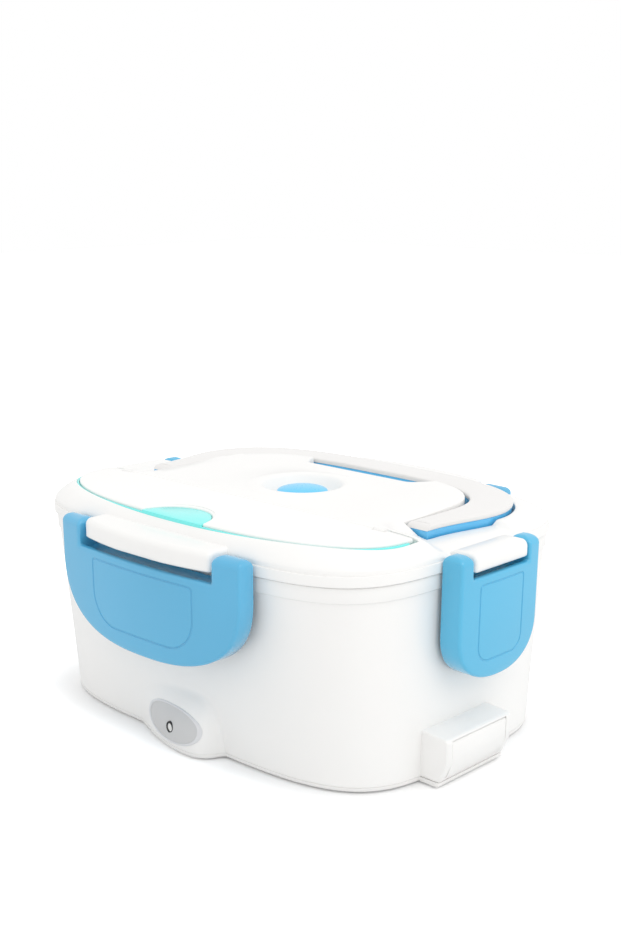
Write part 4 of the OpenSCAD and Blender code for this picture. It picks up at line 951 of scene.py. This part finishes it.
def shield(half, notch, low, shoulder, exponent, drop):
    """Front view of a latch from its pin: two ears with rounded tops, the notch for the bar, a round shield."""
    tops = [(-half, EAR_R), (half, EAR_R), (notch / 2, EAR_R), (-notch / 2, EAR_R)]
    notch_ends = [(notch / 2, -drop), (-notch / 2, -drop)]
    bow = half_round(half, shoulder - low, exponent, shoulder)
    outline = [tops[0], *bow[1:-1], *tops[1:3], *notch_ends, tops[3]]
    corners = {**dict.fromkeys(tops, 3.0), **dict.fromkeys(notch_ends, 1.2)}
    made = []
    for i, point in enumerate(outline):
        if point not in corners:
            made.append(point)
            continue
        here, radius = Vector(point), corners[point]
        back = (Vector(outline[i - 1]) - here).normalized()
        ahead = (Vector(outline[(i + 1) % len(outline)]) - here).normalized()
        middle = here + (back + ahead) * radius
        for k in range(9):
            turn = math.pi / 2 * k / 8
            spot = middle - ahead * radius * math.cos(turn) - back * radius * math.sin(turn)
            made.append((spot.x, spot.y))
    return resampled(made, 1.6)


def face_line(half, low, drop):
    """The line on a latch's face: tight upper corners, wide lower ones."""
    wide, top, bottom, radius, tight = half * 0.57, -drop - 3, low + 8.2, half * 0.27, 2.2
    return [
        *arc((-wide + radius, bottom + radius), radius, 180, 270, 16),
        *arc((wide - radius, bottom + radius), radius, -90, 0, 16),
        *arc((wide - tight, top - tight), tight, 0, 90, 6), *arc((-wide + tight, top - tight), tight, 90, 180, 6),
    ]


def upright(outline, out):
    """Points of a front view, X and up, at a distance out from the pin."""
    return [(x, -out, up) for x, up in outline]


def sliced(piece, axis, places):
    """Adds edges where planes cross a piece, so that it can be bent."""
    made = bmesh.new()
    made.from_mesh(piece.data)
    normal = [0.0, 0.0, 0.0]
    normal[axis] = 1.0
    for place in places:
        spot = [v * place * MM for v in normal]
        parts = made.verts[:] + made.edges[:] + made.faces[:]
        bmesh.ops.bisect_plane(made, geom=parts, plane_co=spot, plane_no=normal, dist=1e-7)
    bmesh.ops.remove_doubles(made, verts=made.verts, dist=0.004 * MM)
    made.to_mesh(piece.data)
    made.free()


def latch(name, finish, half, notch, bar, face, bow, low, shoulder, exponent, drop, swing):
    """A latch made flat at its pin, with a rounded front edge and a hollow back, and then bowed."""
    outline = shield(half, notch, low, shoulder, exponent, drop)
    rings = [upright(grown(outline, width), out) for width, out in (
        (-0.7, -EAR_R), (-0.2, -EAR_R + 0.2), (0.0, -EAR_R + 0.7), (0.0, face - 1.3), (-0.1, face - 0.85),
        (-0.35, face - 0.42), (-0.7, face - 0.15), (-1.15, face))]
    body = as_piece(name, skin(rings), finish)
    rim = 2.2
    top = -swing - rim
    hollow = [(x, min(top, y)) for x, y in half_round(half - rim, shoulder - low - rim, exponent, shoulder)]
    if shoulder < top:
        hollow += [(half - rim, top), (-half + rim, top)]
    cleaned = [p for i, p in enumerate(hollow) if math.dist(p, hollow[i - 1]) > 0.05]
    cavity = as_piece("hollow", skin([upright(cleaned, out) for out in (-20, face - 2.6)]))
    carve(body, cavity)
    carve(body, rod("swing_room", (-notch / 2, 0, 0), (notch / 2, 0, 0), swing, count=96))
    line = resampled(face_line(half, low, drop), 2)
    groove = [upright(grown(line, -inset), face + out) for inset, out in (
        (0.0, 1), (0.0, -0.1), (0.2, -0.35), (0.45, -0.42), (0.7, -0.35), (0.9, -0.1), (0.9, 1))]
    carve(body, as_piece("groove", skin(groove, closed=True)))
    sliced(body, 0, [-half + 2 + (2 * half - 4) * i / 44 for i in range(45)])
    sliced(body, 2, [EAR_R * math.sin(math.radians(a)) for a in (5, 15, 25, 35, 45, 55, 65, 75, 83)])
    sliced(body, 2, [-2.5 * i for i in range(int(-low / 2.5))])
    for vertex in body.data.vertices:
        x, out, up = vertex.co.x / MM, -vertex.co.y / MM, vertex.co.z / MM
        out -= x * x / (2 * bow) * max(0.0, (out + EAR_R) / (face + EAR_R))
        if up > 0:
            out *= math.sqrt(max(0.0, 1 - (up / (EAR_R + 0.05)) ** (2 if out < 0 else 2.4)))
        vertex.co.y = -out * MM
    root, reach = -face + 2, 0.55 * half
    hook = [(y, HOOK_Z + dz) for y, dz in (
        (root, -3.4), (HOOK_TIP, -2.2), (HOOK_TIP, -0.6), (HOOK_TIP - 1.4, -0.6), (root, -1.6))]
    pieces = [body, as_piece("hook", skin([[(x, y, z) for y, z in hook] for x in (-reach, reach)]))]
    for side in (-1, 1):
        pieces.append(rod("stub_pin", (side * (bar - 4.8), 0, 0), (side * (notch / 2 + 1), 0, 0), PIN_R, count=24))
    whole = joined(name, *pieces)
    smooth(whole, 38)
    return whole


WIDE = dict(half=58.0, notch=86.4, bar=WIDE_BAR, face=8.4, bow=375, low=-49.2, shoulder=-12.6, exponent=2.6,
            drop=7.8, swing=9.4)
SLIM = dict(half=27.2, notch=38.8, bar=SLIM_BAR, face=7.1, bow=400, low=-52.1, shoulder=-30.6, exponent=2.3,
            drop=6.2, swing=7.4)


# ---- Dressing: every piece on its body, in its finish ----

white = moulded("shell_white", rgb(247, 246, 244), 0.34)
cover_finish = moulded("cover_white", rgb(249, 248, 246), 0.3)
satin_white = moulded("base_white", rgb(242, 241, 239), 0.45, coat=0.0)
deep_blue = moulded("latch_blue", rgb(88, 180, 222), 0.2, shade=0.93, coat=0.5)
sky_blue = moulded("latch_sky", rgb(84, 186, 226), 0.2, shade=0.94, coat=0.5)
handle_blue = moulded("handle_blue", rgb(96, 196, 248), 0.24, shade=0.94, coat=0.4)
handle_grey = moulded("handle_skin", rgb(236, 234, 232), 0.3)
aqua = moulded("tray_aqua", rgb(126, 244, 240), 0.25)
vent_finish = moulded("vent_blue", rgb(88, 204, 250), 0.28)
badge_field_grey = plain_plastic("badge_grey", rgb(208, 208, 208), 0.5)
badge_rim_grey = plain_plastic("badge_rim_grey", rgb(226, 226, 228), 0.3)
lens_finish = moulded("lamp_amber", rgb(232, 232, 230), 0.15, coat=0.6)
collar_finish = plain_plastic("lamp_collar_black", rgb(30, 30, 32), 0.35)
rubber = soft_rubber("foot_rubber", rgb(70, 70, 72))
silicone = soft_rubber("silicone", rgb(222, 224, 226))
steel = brushed_metal("steel", rgb(190, 191, 193))
plate_metal = brushed_metal("plate_metal", rgb(205, 206, 208), 0.4)
liner_grey = plain_plastic("liner_grey", rgb(214, 215, 217), 0.45)
heater_dark = plain_plastic("heater_dark", rgb(60, 60, 62), 0.6)
board_green = plain_plastic("board_green", rgb(38, 104, 62), 0.5)
wire_red = plain_plastic("wire_red", rgb(176, 52, 44), 0.45)
socket_black = plain_plastic("socket_black", rgb(34, 34, 36), 0.5)
dish_clear = moulded("dish_clear", rgb(228, 234, 240), 0.25)
dish_aqua = moulded("dish_aqua", rgb(186, 228, 238), 0.25)

KEPT = {
    "cover_screws": steel, "inner_liner": liner_grey, "heating_plate": plate_metal, "ptc_heaters": heater_dark,
    "heater_clamp": steel, "thermostat": steel, "thermal_fuse": liner_grey, "wiring": wire_red,
    "inlet_socket": socket_black, "inlet_pins": steel, "inlet_flap_pin": steel, "lamp_board": board_green,
    "lid_liner": liner_grey, "lid_seal": silicone, "vent_gasket": silicone, "food_container": dish_clear,
    "side_tray": dish_aqua, "side_tray_lid": dish_aqua,
}
for node, finish in KEPT.items():
    mesh = NODES[node].data
    mesh.materials.clear()
    mesh.materials.append(finish.material)

dressed(base_shell(white), "base", "shell_white", "outer_housing")
dressed(bottom_cover(satin_white), "base", "base_white", "bottom_cover")
dressed(rubber_feet(rubber), "base", "foot_rubber", "rubber_feet")
dressed(inlet_flap(white), "inlet_flap", "shell_white", "inlet_flap")
badge_rim, badge_field = badge(badge_rim_grey, badge_field_grey)
dressed(badge_rim, "base", "badge_grey", "indicator_badge")
dressed(badge_field, "base", "badge_grey")
lamp_collar, lamp_lens = lamp(collar_finish, lens_finish)
dressed(lamp_collar, "base", "badge_grey")
dressed(lamp_lens, "base", "lamp_amber", "indicator_lens")
dressed(lid_shell(white), "lid", "shell_white", "lid_shell")
dressed(spoon_tray(aqua), "lid", "tray_aqua", "spoon_tray")
dressed(spoon_cover(cover_finish), "spoon_cover", "cover_white", "spoon_cover")
dressed(spoon(steel), "spoon", "steel", "spoon")
dressed(vent_knob(vent_finish), "vent", "vent_blue", "vent_plug")
dressed(handle_core(handle_blue), "handle", "handle_blue", "handle_core")
dressed(handle_cover(handle_grey), "handle", "handle_skin", "handle_cover")
wide, slim = (deep_blue, WIDE, WIDE_PIN, "latch_blue"), (sky_blue, SLIM, SLIM_PIN, "latch_sky")
for side, turn, kind in (("front", 0, wide), ("back", 180, wide), ("right", 90, slim), ("left", -90, slim)):
    finish, shape, pin, slot = kind
    node = "latch_" + side
    dressed(placed(latch(node + "_skin", finish, **shape), turn, pin), node, slot, node)


# ---- Floor, light and view transform ----

FLOOR_HALF = 3000


def white_floor():
    """Floor that shows white to the camera and keeps the box's shadow; the glow the camera sees is also dimmed close
    to the box, a painted shadow round its base.
    """
    floor = block("floor", (-FLOOR_HALF, -FLOOR_HALF, -20), (FLOOR_HALF, FLOOR_HALF, 0))
    finish = Finish("floor_white", 0.9)
    finish.shader.inputs["Base Color"].default_value = (0.9, 0.9, 0.9, 1.0)
    seen = finish.add("LightPath", out=0)
    # Painted shadow: the glow that only the camera sees fades from bright far out to dim close round the box's
    # outline.
    across = abs(finish.place(0)) / (FOOT_HX * MM)
    along = abs(finish.place(1)) / (FOOT_HY * MM)
    share = (across ** OUTLINE_EXP + along ** OUTLINE_EXP) ** (1 / OUTLINE_EXP)
    out_of_painted_shadow = finish.step(share, 1.0, 1.45)
    glow_with_painted_shadow = finish.blend(out_of_painted_shadow, (0.10, 0.10, 0.10), (0.7, 0.7, 0.7))
    finish.feed("Emission Color", finish.blend(seen, (0.0, 0.0, 0.0), glow_with_painted_shadow))
    finish.shader.inputs["Emission Strength"].default_value = 1.0
    floor.data.materials.append(finish.material)


def pale_world():
    """White surroundings, a touch dimmer for the light they cast than for what is seen of them."""
    world = bpy.data.worlds.new("studio")
    bpy.context.scene.world = world
    world.use_nodes = True
    tree = world.node_tree
    background = tree.nodes["Background"]
    background.inputs["Color"].default_value = (1.0, 1.0, 1.0, 1.0)
    path = tree.nodes.new("ShaderNodeLightPath")
    seen = tree.nodes.new("ShaderNodeMath")
    seen.operation = "MAXIMUM"
    tree.links.new(path.outputs["Is Camera Ray"], seen.inputs[0])
    tree.links.new(path.outputs["Is Glossy Ray"], seen.inputs[1])
    level = tree.nodes.new("ShaderNodeMapRange")
    level.inputs["To Min"].default_value = 0.96
    level.inputs["To Max"].default_value = 1.0
    tree.links.new(seen.outputs[0], level.inputs["Value"])
    tree.links.new(level.outputs[0], background.inputs["Strength"])


def soft_lamp(name, spot, aim, size, power):
    data = bpy.data.lights.new(name, "AREA")
    data.shape = "DISK"
    data.size = size
    data.energy = power
    lamp_object = bpy.data.objects.new(name, data)
    bpy.context.scene.collection.objects.link(lamp_object)
    lamp_object.location = spot
    lamp_object.rotation_euler = (Vector(spot) - Vector(aim)).to_track_quat("Z", "Y").to_euler()


white_floor()
pale_world()
soft_lamp("key", (1.0, 0.0, 1.2), (0, 0, 0.05), 1.2, 4.5)
bpy.context.scene.view_settings.view_transform = "Standard"
